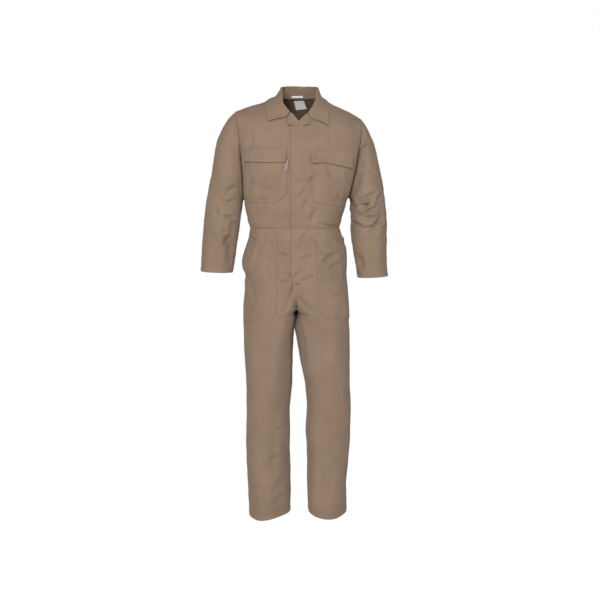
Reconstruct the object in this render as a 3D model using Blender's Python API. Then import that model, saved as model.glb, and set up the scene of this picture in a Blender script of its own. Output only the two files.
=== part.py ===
"""Boiler suit, filled out as worn: hollow cloth walls, open at neck, cuffs and hems.

Metres, +Z up. The front faces -Y and the wearer's left is +X. The origin lies
between the shoulders, where the wearer carries the suit. Every panel is a grid of
points on its outer face, worked out from the section tables below, with a wall of
cloth behind it. Seams lie in the planes x = 0, y = 0 and z = waist, or on the
armhole loops, and leave a small gap there.
"""
import math

import bpy
import numpy as np

# ---------------------------------------------------------------- driving sizes
CLOTH = 0.0015          # wall of one panel
PATCH = 0.0012          # wall of a pocket, flap or fly strip
LABEL = 0.0010          # wall of a woven label
SEAM = 0.0003           # gap between two pieces
WAIST_Z = -0.470        # waist seam
CROTCH_Z = -0.770       # where the four leg seams meet
HEM_Z = -1.551          # trouser hems
NECK_DOME = 0.045       # how far the rounded neck base rises over the shoulder line
ROLL = 0.066            # height over which a shoulder turns from top to front
ARMHOLE_HALF = 0.066    # half the armhole's depth, front to back
CORNER = 2.3            # fullness of a section across
ROUND = 2.1             # fullness of a section in depth

KHAKI = (0.255, 0.195, 0.140)
WHITE = (0.80, 0.79, 0.76)
GREY = (0.36, 0.36, 0.37)


def table(columns, *rows):
    """Short table: column names, then one row for each section."""
    return dict(zip(columns.split(), np.array(rows, float).T))


# Outline and depth of the body, waist, hips and legs. right and left are the outer
# edges each side of the centre front, front and back the depths before and behind
# the side seams.
BODY = table(
    "z        right   left   front  back",
    (0.030,   0.2235, 0.2365, 0.046, 0.058),
    (0.000,   0.2235, 0.2365, 0.062, 0.078),
    (-0.080,  0.2235, 0.2365, 0.094, 0.114),
    (-0.150,  0.2100, 0.2250, 0.115, 0.133),
    (-0.220,  0.2050, 0.2200, 0.128, 0.140),
    (-0.300,  0.2000, 0.2000, 0.130, 0.138),
    (-0.355,  0.1945, 0.1870, 0.127, 0.130),
    (-0.397,  0.1895, 0.1745, 0.122, 0.121),
    (-0.434,  0.1800, 0.1640, 0.116, 0.114),
    (-0.470,  0.1740, 0.1600, 0.112, 0.110),
    (-0.509,  0.1825, 0.1750, 0.118, 0.122),
    (-0.546,  0.1880, 0.1840, 0.123, 0.133),
    (-0.600,  0.1905, 0.1865, 0.125, 0.141),
    (-0.677,  0.1930, 0.1900, 0.121, 0.141),
    (-0.770,  0.2000, 0.1950, 0.114, 0.128),
    (-0.843,  0.2000, 0.1980, 0.106, 0.114),
    (-0.924,  0.2000, 0.2000, 0.097, 0.104),
    (-1.058,  0.1940, 0.2020, 0.088, 0.093),
    (-1.147,  0.1935, 0.2060, 0.084, 0.089),
    (-1.252,  0.1950, 0.2040, 0.082, 0.087),
    (-1.330,  0.1935, 0.1990, 0.082, 0.085),
    (-1.449,  0.1885, 0.1925, 0.083, 0.083),
    (-1.551,  0.1855, 0.1905, 0.084, 0.081),
)

# Where the inside leg seams run, each side of the middle.
INSEAM = table(
    "z        right   left",
    (-0.770,  0.0020, 0.0020),
    (-0.843,  0.0070, 0.0020),
    (-0.924,  0.0140, 0.0050),
    (-0.981,  0.0150, 0.0180),
    (-1.058,  0.0165, 0.0310),
    (-1.147,  0.0250, 0.0360),
    (-1.230,  0.0250, 0.0320),
    (-1.330,  0.0255, 0.0380),
    (-1.449,  0.0265, 0.0395),
    (-1.551,  0.0230, 0.0450),
)

# Neck edge of the fronts, from the bottom of the V to the shoulder.
NECK = {
    "right": table("x z", (0.0, -0.081), (0.0270, -0.052), (0.043, -0.028), (0.056, -0.006),
                   (0.0640, 0.008), (0.067, 0.017)),
    "left": table("x z", (0.0, -0.081), (0.0240, -0.068), (0.047, -0.052), (0.064, -0.029),
                  (0.0745, -0.005), (0.079, 0.017)),
}
NAPE_Z = 0.018

# Shoulder tip and armpit of each armhole, and how far its middle bows outward.
ARMHOLE = {
    "right": {"tip": (0.2235, -0.038), "pit": (0.1945, -0.357), "bow": -0.007},
    "left": {"tip": (0.2365, -0.067), "pit": (0.1870, -0.353), "bow": 0.008},
}

# Sleeve sections after the armhole: outer and inner ends of each section, its half
# depth, how far it swings forward and how far its middle bows outward.
SLEEVE = {
    "right": table(
        "out_x   out_z    in_x    in_z    half   swing   bow",
        (0.2495, -0.059,  0.1985, -0.361, 0.073, 0.000,  0.000),
        (0.2755, -0.097,  0.2000, -0.368, 0.078, 0.000,  0.000),
        (0.2925, -0.137,  0.2005, -0.376, 0.081, 0.000,  0.000),
        (0.3055, -0.196,  0.2015, -0.386, 0.083, 0.000,  0.000),
        (0.3155, -0.258,  0.2035, -0.400, 0.083, 0.000,  0.000),
        (0.3275, -0.313,  0.2065, -0.420, 0.081, 0.001,  0.000),
        (0.3395, -0.379,  0.2105, -0.449, 0.078, 0.004,  0.000),
        (0.3475, -0.453,  0.2155, -0.482, 0.073, 0.008,  0.000),
        (0.3535, -0.509,  0.2215, -0.520, 0.068, 0.013,  0.000),
        (0.3565, -0.564,  0.2265, -0.565, 0.062, 0.018,  0.000),
        (0.3585, -0.596,  0.2325, -0.597, 0.058, 0.021,  0.000),
        (0.3585, -0.626,  0.2415, -0.627, 0.055, 0.024,  0.000),
    ),
    "left": table(
        "out_x   out_z    in_x    in_z    half   swing   bow",
        (0.2535, -0.088,  0.1940, -0.355, 0.073, 0.000,  0.018),
        (0.2705, -0.121,  0.1965, -0.362, 0.078, 0.000,  0.014),
        (0.2855, -0.159,  0.1975, -0.371, 0.081, 0.000,  0.008),
        (0.2985, -0.214,  0.1980, -0.381, 0.083, 0.000,  0.003),
        (0.3105, -0.265,  0.1965, -0.393, 0.083, 0.000,  0.000),
        (0.3205, -0.316,  0.1995, -0.409, 0.081, 0.001,  0.000),
        (0.3285, -0.379,  0.2005, -0.436, 0.078, 0.004,  0.000),
        (0.3335, -0.442,  0.1990, -0.471, 0.073, 0.008,  0.000),
        (0.3355, -0.501,  0.2025, -0.509, 0.068, 0.013,  0.000),
        (0.3360, -0.553,  0.2095, -0.555, 0.062, 0.018,  0.000),
        (0.3375, -0.600,  0.2165, -0.603, 0.058, 0.021,  0.000),
        (0.3405, -0.647,  0.2285, -0.649, 0.055, 0.024,  0.000),
    ),
}
# Sections of the sleeve grid, counted along the table: 0 is the armhole.
SLEEVE_STEPS = (0, 1, 2, 3, 4, 4.7, 5.3, 5.8, 6.3, 6.7, 7.1, 7.5, 7.9, 8.3, 8.8, 9.3, 9.8, 10.4, 11,
                11.6, 12)

# Columns of the upper fronts: the first ones at fixed distances from the middle, the
# rest shared out between the neck side and the outer edge.
FRONT_COLUMNS = {
    "right": {"fixed": (0, 0.004, 0.013, 0.0255, 0.0365, 0.0475, 0.058, 0.067),
              "shares": (0.22, 0.44, 0.65, 0.83, 0.93, 1)},
    "left": {"fixed": (0, 0.004, 0.014, 0.032, 0.0435, 0.0526, 0.066, 0.079),
             "shares": (0.22, 0.44, 0.65, 0.82, 0.93, 1)},
}
BACK_COLUMNS = {"fixed": (0, 0.011, 0.022, 0.036, 0.050, 0.061), "shares": (0.22, 0.46, 0.68, 0.87, 1)}
LEG_FRONT_COLUMNS = {
    "right": {"fixed": (0, 0.004, 0.013, 0.0255),
              "shares": (0.15, 0.295, 0.44, 0.58, 0.71, 0.82, 0.91, 0.97, 1)},
    "left": {"fixed": (0, 0.004, 0.014, 0.032),
             "shares": (0.12, 0.238, 0.40, 0.56, 0.70, 0.82, 0.91, 0.97, 1)},
}
LEG_BACK_COLUMNS = {"fixed": (0, 0.004, 0.014, 0.032), "shares": (0.2, 0.42, 0.62, 0.80, 0.92, 1)}

# Rows of the upper panels. Above the yoke line they are shares of the way down from
# the top edge, below it heights at the middle and at the outer edge.
YOKE_SHARES = (0, 0.07, 0.28, 0.60)
BODICE_ROWS = {
    "right": table("middle  edge", (-0.140, -0.140), (-0.180, -0.180), (-0.205, -0.205),
                   (-0.232, -0.232), (-0.272, -0.272), (-0.315, -0.315), (-0.342, -0.342),
                   (-0.356, -0.357), (-0.378, -0.378), (-0.410, -0.410), (-0.442, -0.442),
                   (WAIST_Z, WAIST_Z)),
    "left": table("middle  edge", (-0.140, -0.150), (-0.180, -0.199), (-0.205, -0.225),
                  (-0.232, -0.254), (-0.272, -0.285), (-0.315, -0.318), (-0.342, -0.342),
                  (-0.356, -0.353), (-0.378, -0.385), (-0.410, -0.412), (-0.442, -0.442),
                  (WAIST_Z, WAIST_Z)),
}
LEG_FRONT_ROWS = (WAIST_Z, -0.490, -0.512, -0.54, -0.57, -0.60, -0.635, -0.67, -0.70, -0.72, -0.738,
                  -0.752, -0.762, -0.768, CROTCH_Z, -0.788, -0.813, -0.85, -0.90, -0.96, -1.03, -1.10,
                  -1.17, -1.24, -1.32, -1.40, -1.48, HEM_Z)
LEG_BACK_ROWS = (WAIST_Z, -0.51, -0.55, -0.60, -0.65, -0.69, -0.725, -0.748, -0.762, -0.768, CROTCH_Z,
                 -0.795, -0.83, -0.88, -0.96, -1.05, -1.15, -1.25, -1.37, -1.48, HEM_Z)
RISE_TOP = {"front": -0.68, "back": -0.66}    # where the centre seam starts to turn under
THIGH_TOP, THIGH_END = -0.56, -0.98           # the outer side changes from hip to leg section here


# ------------------------------------------------------------------- arithmetic
def smooth(t, keys, values):
    """Monotone cubic through the rows of a table: no overshoot between sections."""
    keys, values = (keys, values) if keys[0] < keys[-1] else (keys[::-1], values[::-1])
    step = np.diff(keys)
    slope = np.diff(values) / step
    inner = np.where(slope[:-1] * slope[1:] > 0,
                     2 * slope[:-1] * slope[1:] / np.where(slope[:-1] + slope[1:] == 0, 1,
                                                           slope[:-1] + slope[1:]), 0)
    tangent = np.concatenate([slope[:1], inner, slope[-1:]])
    t = np.clip(t, keys[0], keys[-1])
    k = np.clip(np.searchsorted(keys, t, side="right") - 1, 0, len(step) - 1)
    s = (t - keys[k]) / step[k]
    return (values[k] * (1 + 2 * s) * (1 - s) ** 2 + step[k] * tangent[k] * s * (1 - s) ** 2
            + values[k + 1] * s * s * (3 - 2 * s) + step[k] * tangent[k + 1] * s * s * (s - 1))


def arc(t):
    """Quarter circle: 0 at 0, upright there, level at 1 and beyond."""
    return np.sqrt(1 - (1 - np.clip(t, 0, 1)) ** 2)


def ease(t):
    """Soft step from 0 to 1."""
    t = np.clip(t, 0, 1)
    return t * t * (3 - 2 * t)


def unit(v):
    return v / np.maximum(np.linalg.norm(v, axis=-1, keepdims=True), 1e-12)


# ---------------------------------------------------------------------- surfaces
def armhole_cos(side, z):
    """Cosine round the armhole loop at a height: 1 at the tip, -1 at the armpit."""
    tip, pit = ARMHOLE[side]["tip"][1], ARMHOLE[side]["pit"][1]
    return np.clip((2 * z - tip - pit) / (tip - pit), -1, 1)


def edge_x(side, z):
    """Outer edge of the upper panels: the armhole down to the armpit, then the side seam."""
    hole = ARMHOLE[side]
    c = armhole_cos(side, z)
    chord = hole["pit"][0] + (hole["tip"][0] - hole["pit"][0]) * (1 + c) / 2
    return np.where(z >= hole["pit"][1], chord + hole["bow"] * (1 - c * c),
                    smooth(z, BODY["z"], BODY[side]))


def shoulder_z(side, x):
    """Shoulder line, a straight fall from the neck to the tip."""
    neck_x, neck_z = NECK[side]["x"][-1], NECK[side]["z"][-1]
    tip_x, tip_z = ARMHOLE[side]["tip"]
    return neck_z + (tip_z - neck_z) * (x - neck_x) / (tip_x - neck_x)


def crest_z(side, x):
    """Shoulder line, with the neck's rounded base on its inner end."""
    neck = NECK[side]["x"][-1]
    rise = NECK_DOME * (1 - np.clip(x / neck, 0, 1) ** 2)
    return shoulder_z(side, np.maximum(x, neck)) + rise


def bodice_y(side, face, x, z):
    """Depth of the chest or back: the section's crown, rolled over at the shoulder."""
    crown = (1 - np.clip(x / edge_x(side, z), 0, 1) ** CORNER) ** (1 / ROUND)
    full = smooth(z, BODY["z"], BODY[face]) * arc((crest_z(side, x) - z) / ROLL)
    c = armhole_cos(side, z)
    loop = ARMHOLE_HALF * np.sqrt(1 - c * c)
    return loop + (full - loop) * crown


def columns_at(columns, start, width):
    """Distances of the grid's columns from the middle, for a section of this width."""
    fixed = np.array(columns["fixed"])
    shares = np.array(columns["shares"])
    near = start + fixed[-1]
    return np.concatenate([np.broadcast_to(start + fixed, width.shape + fixed.shape),
                           near + (width[:, None] + start - near) * shares], axis=1)


def top_z(side, face, x):
    """Top edge of an upper panel: the neck edge, then the shoulder seam."""
    neck = NECK[side]
    if face == "front":
        edge = smooth(x, neck["x"], neck["z"])
    else:
        edge = NAPE_Z + (neck["z"][-1] - NAPE_Z) * (x / neck["x"][-1]) ** 2
    return np.where(x < neck["x"][-1], edge, shoulder_z(side, x))


def place(side, face, x, y, z):
    """Points on one side of the suit, half a seam off the side seams' plane."""
    across = x * (1 if side == "left" else -1)
    deep = (y + SEAM / 2) * (1 if face == "back" else -1)
    return np.stack([across, deep, z], axis=-1)


def bodice_grid(side, face, columns):
    """Outer face of half a chest or back, rows from the top edge down to the waist."""
    rows = BODICE_ROWS[side]
    x_top = columns_at(columns, 0.0, np.array([ARMHOLE[side]["tip"][0]]))[0]
    top = top_z(side, face, x_top)
    share = x_top / x_top[-1]
    yoke = rows["middle"][0] + (rows["edge"][0] - rows["middle"][0]) * share
    heights = [top + (yoke - top) * s for s in YOKE_SHARES]
    heights += [m + (e - m) * share for m, e in zip(rows["middle"], rows["edge"])]
    z = np.array(heights)
    x = np.array([[columns_at(columns, 0.0, np.array([edge_x(side, h)]))[0][k]
                   for k, h in enumerate(row)] for row in z])
    return x, bodice_y(side, face, x, z), z


def leg_grid(side, face, columns, rows):
    """Outer face of half the trousers: a hip section that turns into a leg section."""
    z = np.array(rows)
    outer = smooth(z, BODY["z"], BODY[side])
    inner = np.where(z < CROTCH_Z, smooth(z, INSEAM["z"], INSEAM[side]), 0.0)
    x = columns_at(columns, 0.0, outer - inner)
    f = x / (outer - inner)[:, None]
    depth = smooth(z, BODY["z"], BODY[face])[:, None]
    hip = depth * (1 - f ** CORNER) ** (1 / ROUND)
    leg = depth * (1 - np.abs(2 * f - 1) ** CORNER) ** (1 / ROUND)
    turn = np.clip((RISE_TOP[face] - z) / (RISE_TOP[face] - CROTCH_Z), 0, 1)[:, None]
    under = 1 - np.sqrt(1 - turn ** 2)
    thigh = ease((THIGH_TOP - z) / (THIGH_TOP - THIGH_END))[:, None]
    change = under + (thigh - under) * ease(2 * f)
    return x + inner[:, None], hip + (leg - hip) * change, np.broadcast_to(z[:, None], x.shape)


def armhole_angles(side):
    """Angle of each armhole row round the loop, 0 at the tip and pi at the armpit."""
    tip = ARMHOLE[side]["tip"][1]
    rows = BODICE_ROWS[side]["edge"]
    heights = [tip + (rows[0] - tip) * s for s in YOKE_SHARES] + [z for z in rows
                                                                 if z >= ARMHOLE[side]["pit"][1]]
    return np.arccos(armhole_cos(side, np.array(heights)))


def sleeve_grid(side, steps, angles):
    """Outer face of a sleeve: ellipses between the outer and inner ends of each section."""
    hole, rows = ARMHOLE[side], SLEEVE[side]
    ends = {"out_x": hole["tip"][0], "out_z": hole["tip"][1], "in_x": hole["pit"][0],
            "in_z": hole["pit"][1], "half": ARMHOLE_HALF, "swing": 0.0, "bow": hole["bow"]}
    count = np.arange(len(rows["half"]) + 1.0)
    at = {k: smooth(np.array(steps, float), count, np.concatenate([[ends[k]], rows[k]]))[:, None]
          for k in rows}
    c, s = np.cos(angles), np.sin(angles)
    x = (at["out_x"] + at["in_x"]) / 2 + (at["out_x"] - at["in_x"]) / 2 * c + at["bow"] * s * s + SEAM
    z = (at["out_z"] + at["in_z"]) / 2 + (at["out_z"] - at["in_z"]) / 2 * c
    y = at["half"] * s - at["swing"]
    sign = 1 if side == "left" else -1
    return np.stack([sign * x, np.broadcast_to(y, x.shape), z], axis=-1)


# ------------------------------------------------------------------------- folds
# Largest folds, as troughs along a line on the front (-1) or back (+1): its ends,
# half width and depth. A negative depth is a ridge.
FOLDS = {
    "sleeve_left": table(
        "face x1     z1      x2     z2      width  depth",
        (-1, 0.205, -0.372, 0.318, -0.318, 0.012, 0.006),
        (-1, 0.215, -0.402, 0.322, -0.412, 0.011, 0.006),
        (-1, 0.335, -0.345, 0.270, -0.372, 0.010, 0.005),
        (-1, 0.208, -0.436, 0.300, -0.462, 0.011, 0.006),
        (-1, 0.338, -0.440, 0.262, -0.486, 0.012, 0.005),
        (1, 0.210, -0.385, 0.315, -0.355, 0.012, 0.006),
        (1, 0.330, -0.400, 0.235, -0.425, 0.012, 0.006),
        (1, 0.212, -0.455, 0.310, -0.470, 0.012, 0.005),
        (-1, 0.245, -0.170, 0.290, -0.140, 0.012, 0.006),
    ),
    "sleeve_right": table(
        "face x1     z1      x2     z2      width  depth",
        (-1, 0.215, -0.398, 0.300, -0.440, 0.012, 0.005),
        (-1, 0.225, -0.438, 0.325, -0.415, 0.012, 0.004),
        (1, 0.215, -0.400, 0.320, -0.375, 0.013, 0.006),
        (1, 0.335, -0.430, 0.240, -0.455, 0.013, 0.005),
    ),
    "trouser_front_right": table(
        "face x1     z1      x2     z2      width  depth",
        (-1, 0.004, -0.700, 0.055, -0.655, 0.012, 0.004),
        (-1, 0.012, -0.720, 0.060, -0.790, 0.012, 0.005),
        (-1, 0.165, -0.650, 0.140, -0.760, 0.013, 0.004),
    ),
    "trouser_front_left": table(
        "face x1     z1      x2     z2      width  depth",
        (-1, 0.010, -0.672, 0.050, -0.700, 0.012, 0.004),
        (-1, 0.100, -0.610, 0.165, -0.570, 0.014, 0.006),
        (-1, 0.008, -0.716, 0.045, -0.760, 0.012, 0.005),
    ),
}


def fold_depth(name, points):
    """How far the folds of a piece press each point in: a bell across, soft at the ends."""
    total = np.zeros(points.shape[:-1])
    rows = FOLDS.get(name)
    if rows is None:
        return total
    x, z = np.abs(points[..., 0]), points[..., 2]
    for k in range(len(rows["face"])):
        a = np.array([rows["x1"][k], rows["z1"][k]])
        b = np.array([rows["x2"][k], rows["z2"][k]])
        run = b - a
        t = ((x - a[0]) * run[0] + (z - a[1]) * run[1]) / (run @ run)
        near = np.clip(t, 0, 1)
        off = np.hypot(x - a[0] - near * run[0], z - a[1] - near * run[1])
        side = np.clip(0.5 + points[..., 1] * rows["face"][k] / 0.03, 0, 1) * np.clip(x / 0.015, 0, 1)
        total += rows["depth"][k] * np.exp(-(off / rows["width"][k]) ** 2) * side
    return total


# ------------------------------------------------------------------------ meshes
def grid_faces(rows, cols, wrap=False, mirrored=0):
    """Triangles of a grid of points, each cell cut along the same diagonal, or along
    the other one in the first mirrored columns."""
    r, c = np.meshgrid(np.arange(rows - 1), np.arange(cols if wrap else cols - 1), indexing="ij")
    r, c = r.ravel(), c.ravel()
    a, b = r * cols + c, r * cols + (c + 1) % cols
    below, right = a + cols, b + cols
    turned = (c < mirrored)[:, None]
    first = np.where(turned, np.stack([a, below, b], 1), np.stack([a, below, right], 1))
    second = np.where(turned, np.stack([b, below, right], 1), np.stack([a, right, b], 1))
    return np.concatenate([first, second])


def point_normals(points, faces):
    """Unit normal of each point, the mean of its faces weighted by area."""
    flat = points.reshape(-1, 3)
    corner = flat[faces]
    normal = np.cross(corner[:, 1] - corner[:, 0], corner[:, 2] - corner[:, 0])
    total = np.zeros_like(flat)
    for k in range(3):
        np.add.at(total, faces[:, k], normal)
    return unit(total)


class Piece:
    """One piece of cloth: outer points, faces that look outward and the normals."""

    def __init__(self, name, points, centre, wrap=False, mirrored=0):
        self.name, self.shape = name, points.shape[:2]
        self.faces = grid_faces(*self.shape, wrap, mirrored)
        normal = point_normals(points, self.faces)
        outward = np.sum(normal * (points.reshape(-1, 3) - np.array(centre)))
        if outward < 0:
            self.faces = self.faces[:, ::-1]
            normal = -normal
        moved = points.reshape(-1, 3) - normal * fold_depth(name, points).reshape(-1, 1)
        self.points = moved
        self.normals = point_normals(moved, self.faces)

    def at(self, field):
        return field.reshape(self.shape + (3,))


def build(name, outer, inner, faces, colour):
    """Closed solid between an outer and an inner sheet that share their faces."""
    count = len(outer)
    used = np.unique(faces)
    index = -np.ones(count, int)
    index[used] = np.arange(len(used))
    f = index[faces]
    n = len(used)
    edges = np.concatenate([f[:, [0, 1]], f[:, [1, 2]], f[:, [2, 0]]])
    key = edges[:, 0] * n + edges[:, 1]
    free = edges[~np.isin(key, edges[:, 1] * n + edges[:, 0])]
    rim = np.concatenate([np.stack([free[:, 1], free[:, 0], free[:, 0] + n], 1),
                          np.stack([free[:, 1], free[:, 0] + n, free[:, 1] + n], 1)])
    mesh = bpy.data.meshes.new(name)
    vertices = np.concatenate([outer[used], inner[used]])
    triangles = np.concatenate([f, f[:, ::-1] + n, rim])
    mesh.from_pydata(vertices.tolist(), [], triangles.tolist())
    mesh.shade_smooth()
    mesh.set_sharp_from_angle(angle=math.radians(50))
    mesh.materials.append(cloth(name, colour))
    thing = bpy.data.objects.new(name, mesh)
    bpy.context.scene.collection.objects.link(thing)
    return thing


def cloth(name, colour):
    """Matt cloth finish of one piece."""
    finish = bpy.data.materials.new(name + "_cloth")
    finish.use_nodes = True
    shader = finish.node_tree.nodes["Principled BSDF"]
    shader.inputs["Base Color"].default_value = (*colour, 1)
    shader.inputs["Roughness"].default_value = 0.9
    shader.inputs["Metallic"].default_value = 0.0
    return finish


def flat_cut(vectors, plane, away=0):
    """Vectors at a seam edge, kept out of the next piece: flat in one axis, or free
    on the side given by away."""
    kept = vectors.copy()
    kept[..., plane] = np.where(kept[..., plane] * away > 0, kept[..., plane], 0)
    return unit(kept)


# ------------------------------------------------------------- panels and sleeves
X, Y, Z = 0, 1, 2
SIGN = {"right": -1, "left": 1}
CHEST_CENTRE = (0, 0, -0.25)
MITRE_LEAST = 0.6        # keeps the walls' mitre at the armhole short


def bodice_front(side):
    """Half front: centre seam, neck edge, shoulder, armhole, side and waist."""
    grid = bodice_grid(side, "front", FRONT_COLUMNS[side])
    piece = Piece("front_" + side, place(side, "front", *grid), CHEST_CENTRE)
    inward = -piece.at(piece.normals)
    neck_column = len(FRONT_COLUMNS[side]["fixed"]) - 1
    inward[0, neck_column:] = flat_cut(inward[0, neck_column:], Y)
    return piece, inward


def bodice_back():
    """The whole back in one piece, from the right side seam to the left one."""
    halves = {}
    for side in ("right", "left"):
        halves[side] = place(side, "back", *bodice_grid(side, "back", BACK_COLUMNS))
    middle = (halves["right"][:, :1] + halves["left"][:, :1]) / 2
    points = np.concatenate([halves["right"][:, :0:-1], middle, halves["left"][:, 1:]], axis=1)
    piece = Piece("back", points, CHEST_CENTRE)
    inward = -piece.at(piece.normals)
    reach = len(BACK_COLUMNS["shares"])
    inward[0, :reach + 1] = flat_cut(inward[0, :reach + 1], Y)
    inward[0, -reach - 1:] = flat_cut(inward[0, -reach - 1:], Y)
    return piece, inward


def close_bodice_edges(inward, first, last, armhole_rows):
    """Side seams below the armpit, the waist and, for a front, the centre seam."""
    for column, is_seam in ((0, first), (-1, last)):
        if is_seam == "side":
            inward[armhole_rows:, column] = flat_cut(inward[armhole_rows:, column], Y)
        if is_seam == "centre":
            inward[:, column] = flat_cut(inward[:, column], X)
    inward[-1] = flat_cut(inward[-1], Z)


def sleeve(side):
    """Sleeve tube from the armhole to the cuff."""
    half = armhole_angles(side)
    angles = np.concatenate([-half[:-1], [math.pi], half[-2:0:-1]])
    points = sleeve_grid(side, SLEEVE_STEPS, angles)
    centre_line = points.mean(axis=1, keepdims=True)
    piece = Piece("sleeve_" + side, points, np.repeat(centre_line, len(angles), axis=1).reshape(-1, 3),
                  wrap=True)
    return piece, -piece.at(piece.normals), len(half)


def share_armhole(side, front_in, back_in, sleeve_in, count):
    """One wall direction round each armhole, half way between bodice and sleeve."""
    back_column = -1 if side == "left" else 0
    for k in range(count):
        front, back = front_in[k, -1], back_in[k, back_column]
        opposite = (2 * (count - 1) - k) % (2 * (count - 1))
        at_end = k in (0, count - 1)
        shared = []
        for own, ring in ((front, k), (back, opposite)):
            lean = unit((front + back) / 2 if at_end else own) + sleeve_in[0, ring]
            lean[Y] = 0 if at_end else lean[Y]
            shared.append(unit(lean) / max(np.linalg.norm(lean) / 2, MITRE_LEAST))
        front_in[k, -1] = sleeve_in[0, k] = shared[0]
        back_in[k, back_column] = sleeve_in[0, opposite] = shared[1]


def trouser_panel(side, face):
    """Front or back of one leg, with the hip above it."""
    columns = LEG_FRONT_COLUMNS[side] if face == "front" else LEG_BACK_COLUMNS
    rows = LEG_FRONT_ROWS if face == "front" else LEG_BACK_ROWS
    points = place(side, face, *leg_grid(side, face, columns, rows))
    points[..., X] += SIGN[side] * SEAM / 2
    points[0, :, Z] -= SEAM
    centre = points.copy()
    centre[..., X] = SIGN[side] * 0.10
    centre[..., Y] = 0
    piece = Piece("trouser_" + face + "_" + side, points, centre.reshape(-1, 3))
    inward = -piece.at(piece.normals)
    crotch = rows.index(CROTCH_Z)
    inward[:crotch + 1, 0] = flat_cut(inward[:crotch + 1, 0], X, SIGN[side])
    inward[crotch:, 0] = flat_cut(inward[crotch:, 0], Y)
    inward[:, -1] = flat_cut(inward[:, -1], Y)
    inward[0] = flat_cut(inward[0], Z)
    return piece, inward


def wall(piece, inward, thickness=CLOTH, colour=KHAKI):
    """Solid of a panel: its outer face and the wall behind it."""
    vectors = inward.reshape(-1, 3) * thickness
    return build(piece.name, piece.points, piece.points + vectors, piece.faces, colour)


def overlay(name, points, inward, faces, low, thickness, colour=KHAKI):
    """Solid that lies on a panel: the panel's points moved out by low, and by the
    thickness more."""
    low = np.broadcast_to(low, points.shape[:-1])[..., None]
    under = (points - inward * low).reshape(-1, 3)
    over = (points - inward * (low + thickness)).reshape(-1, 3)
    return build(name, over, under, faces, colour)


def cut_faces(piece, rows, cols, lower=None, upper=None):
    """Faces of the cells between two rows and two columns. lower cuts off the corner
    at the last row and first column, upper the one at the first row and last column,
    each along the cells' diagonals from a starting cell."""
    count = piece.shape[1]
    kept = []
    cells = (piece.shape[0] - 1) * (count - 1)
    for r in range(rows[0], rows[1]):
        for c in range(cols[0], cols[1]):
            below, above = r * (count - 1) + c, cells + r * (count - 1) + c
            cut_low = lower is not None and r - lower[0] >= c - lower[1]
            cut_all = lower is not None and r - lower[0] > c - lower[1]
            drop_up = upper is not None and c - upper[1] >= r - upper[0]
            drop_all = upper is not None and c - upper[1] > r - upper[0]
            if cut_all or drop_all:
                continue
            kept += [] if cut_low else [below]
            kept += [] if drop_up else [above]
    return piece.faces[kept]


# --------------------------------------------------------------- pockets and flaps
FLAP_TOP, POCKET_TOP, FLAP_END, POCKET_END = 5, 6, 7, 12
CHEST_COLUMNS = {"right": (4, 11), "left": (5, 11)}
CHEST_CORNER = {"right": (10, 4), "left": (10, 5)}
HIP_ROWS, HIP_COLUMNS = (0, 16), (5, 12)
HIP_CORNER, HIP_MOUTH = (14, 5), (2, 8)
LAYER = SEAM + PATCH


def chest_pocket(side, piece, inward):
    """Patch pocket with its lower inner corner cut off, under a flap."""
    first, last = CHEST_COLUMNS[side]
    faces = cut_faces(piece, (POCKET_TOP, POCKET_END), (first, last), lower=CHEST_CORNER[side])
    points = piece.at(piece.points)
    overlay("chest_pocket_" + side, points, inward, faces, SEAM, PATCH)
    low = np.zeros(piece.shape)
    low[FLAP_TOP], low[POCKET_TOP], low[FLAP_END] = SEAM, SEAM + LAYER, SEAM + LAYER + 0.0015
    faces = cut_faces(piece, (FLAP_TOP, FLAP_END), (first, last))
    overlay("chest_flap_" + side, points, inward, faces, low, PATCH)


def hip_pocket(side, piece, inward):
    """Patch pocket from the waist seam to the side seam, with a slanted mouth."""
    faces = cut_faces(piece, HIP_ROWS, HIP_COLUMNS, lower=HIP_CORNER, upper=HIP_MOUTH)
    overlay("hip_pocket_" + side, piece.at(piece.points), inward, faces, SEAM, PATCH)


def strip_of(right, left, rows, columns):
    """Points of the fly strip over both sides, with one column on the middle."""
    field = np.concatenate([right[rows, columns:0:-1],
                            (right[rows, :1] + left[rows, :1]) / 2, left[rows, 1:columns + 1]], axis=1)
    return field


def fly_strip(fronts, legs, columns=3, last_leg_row=8):
    """Covered front closing: one strip from the neck over the waist seam to the rise."""
    upper, lower = slice(1, None), slice(0, last_leg_row + 1)
    points, inward = [], []
    for part, (a, b) in enumerate(((fronts["right"], fronts["left"]), (legs["right"], legs["left"]))):
        rows = (upper, lower)[part]
        points.append(strip_of(a[0].at(a[0].points), b[0].at(b[0].points), rows, columns))
        inward.append(unit(strip_of(a[1], b[1], rows, columns)))
    joint_points = (points[0][-1:] + points[1][:1]) / 2
    joint_inward = unit(inward[0][-1:] + inward[1][:1])
    points = np.concatenate([points[0][:-1], joint_points, points[1][1:]])
    inward = np.concatenate([inward[0][:-1], joint_inward, inward[1][1:]])
    piece = Piece("fly_strip", points, CHEST_CENTRE, mirrored=columns)
    overlay("fly_strip", piece.at(piece.points), inward, piece.faces, SEAM, PATCH)


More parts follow.
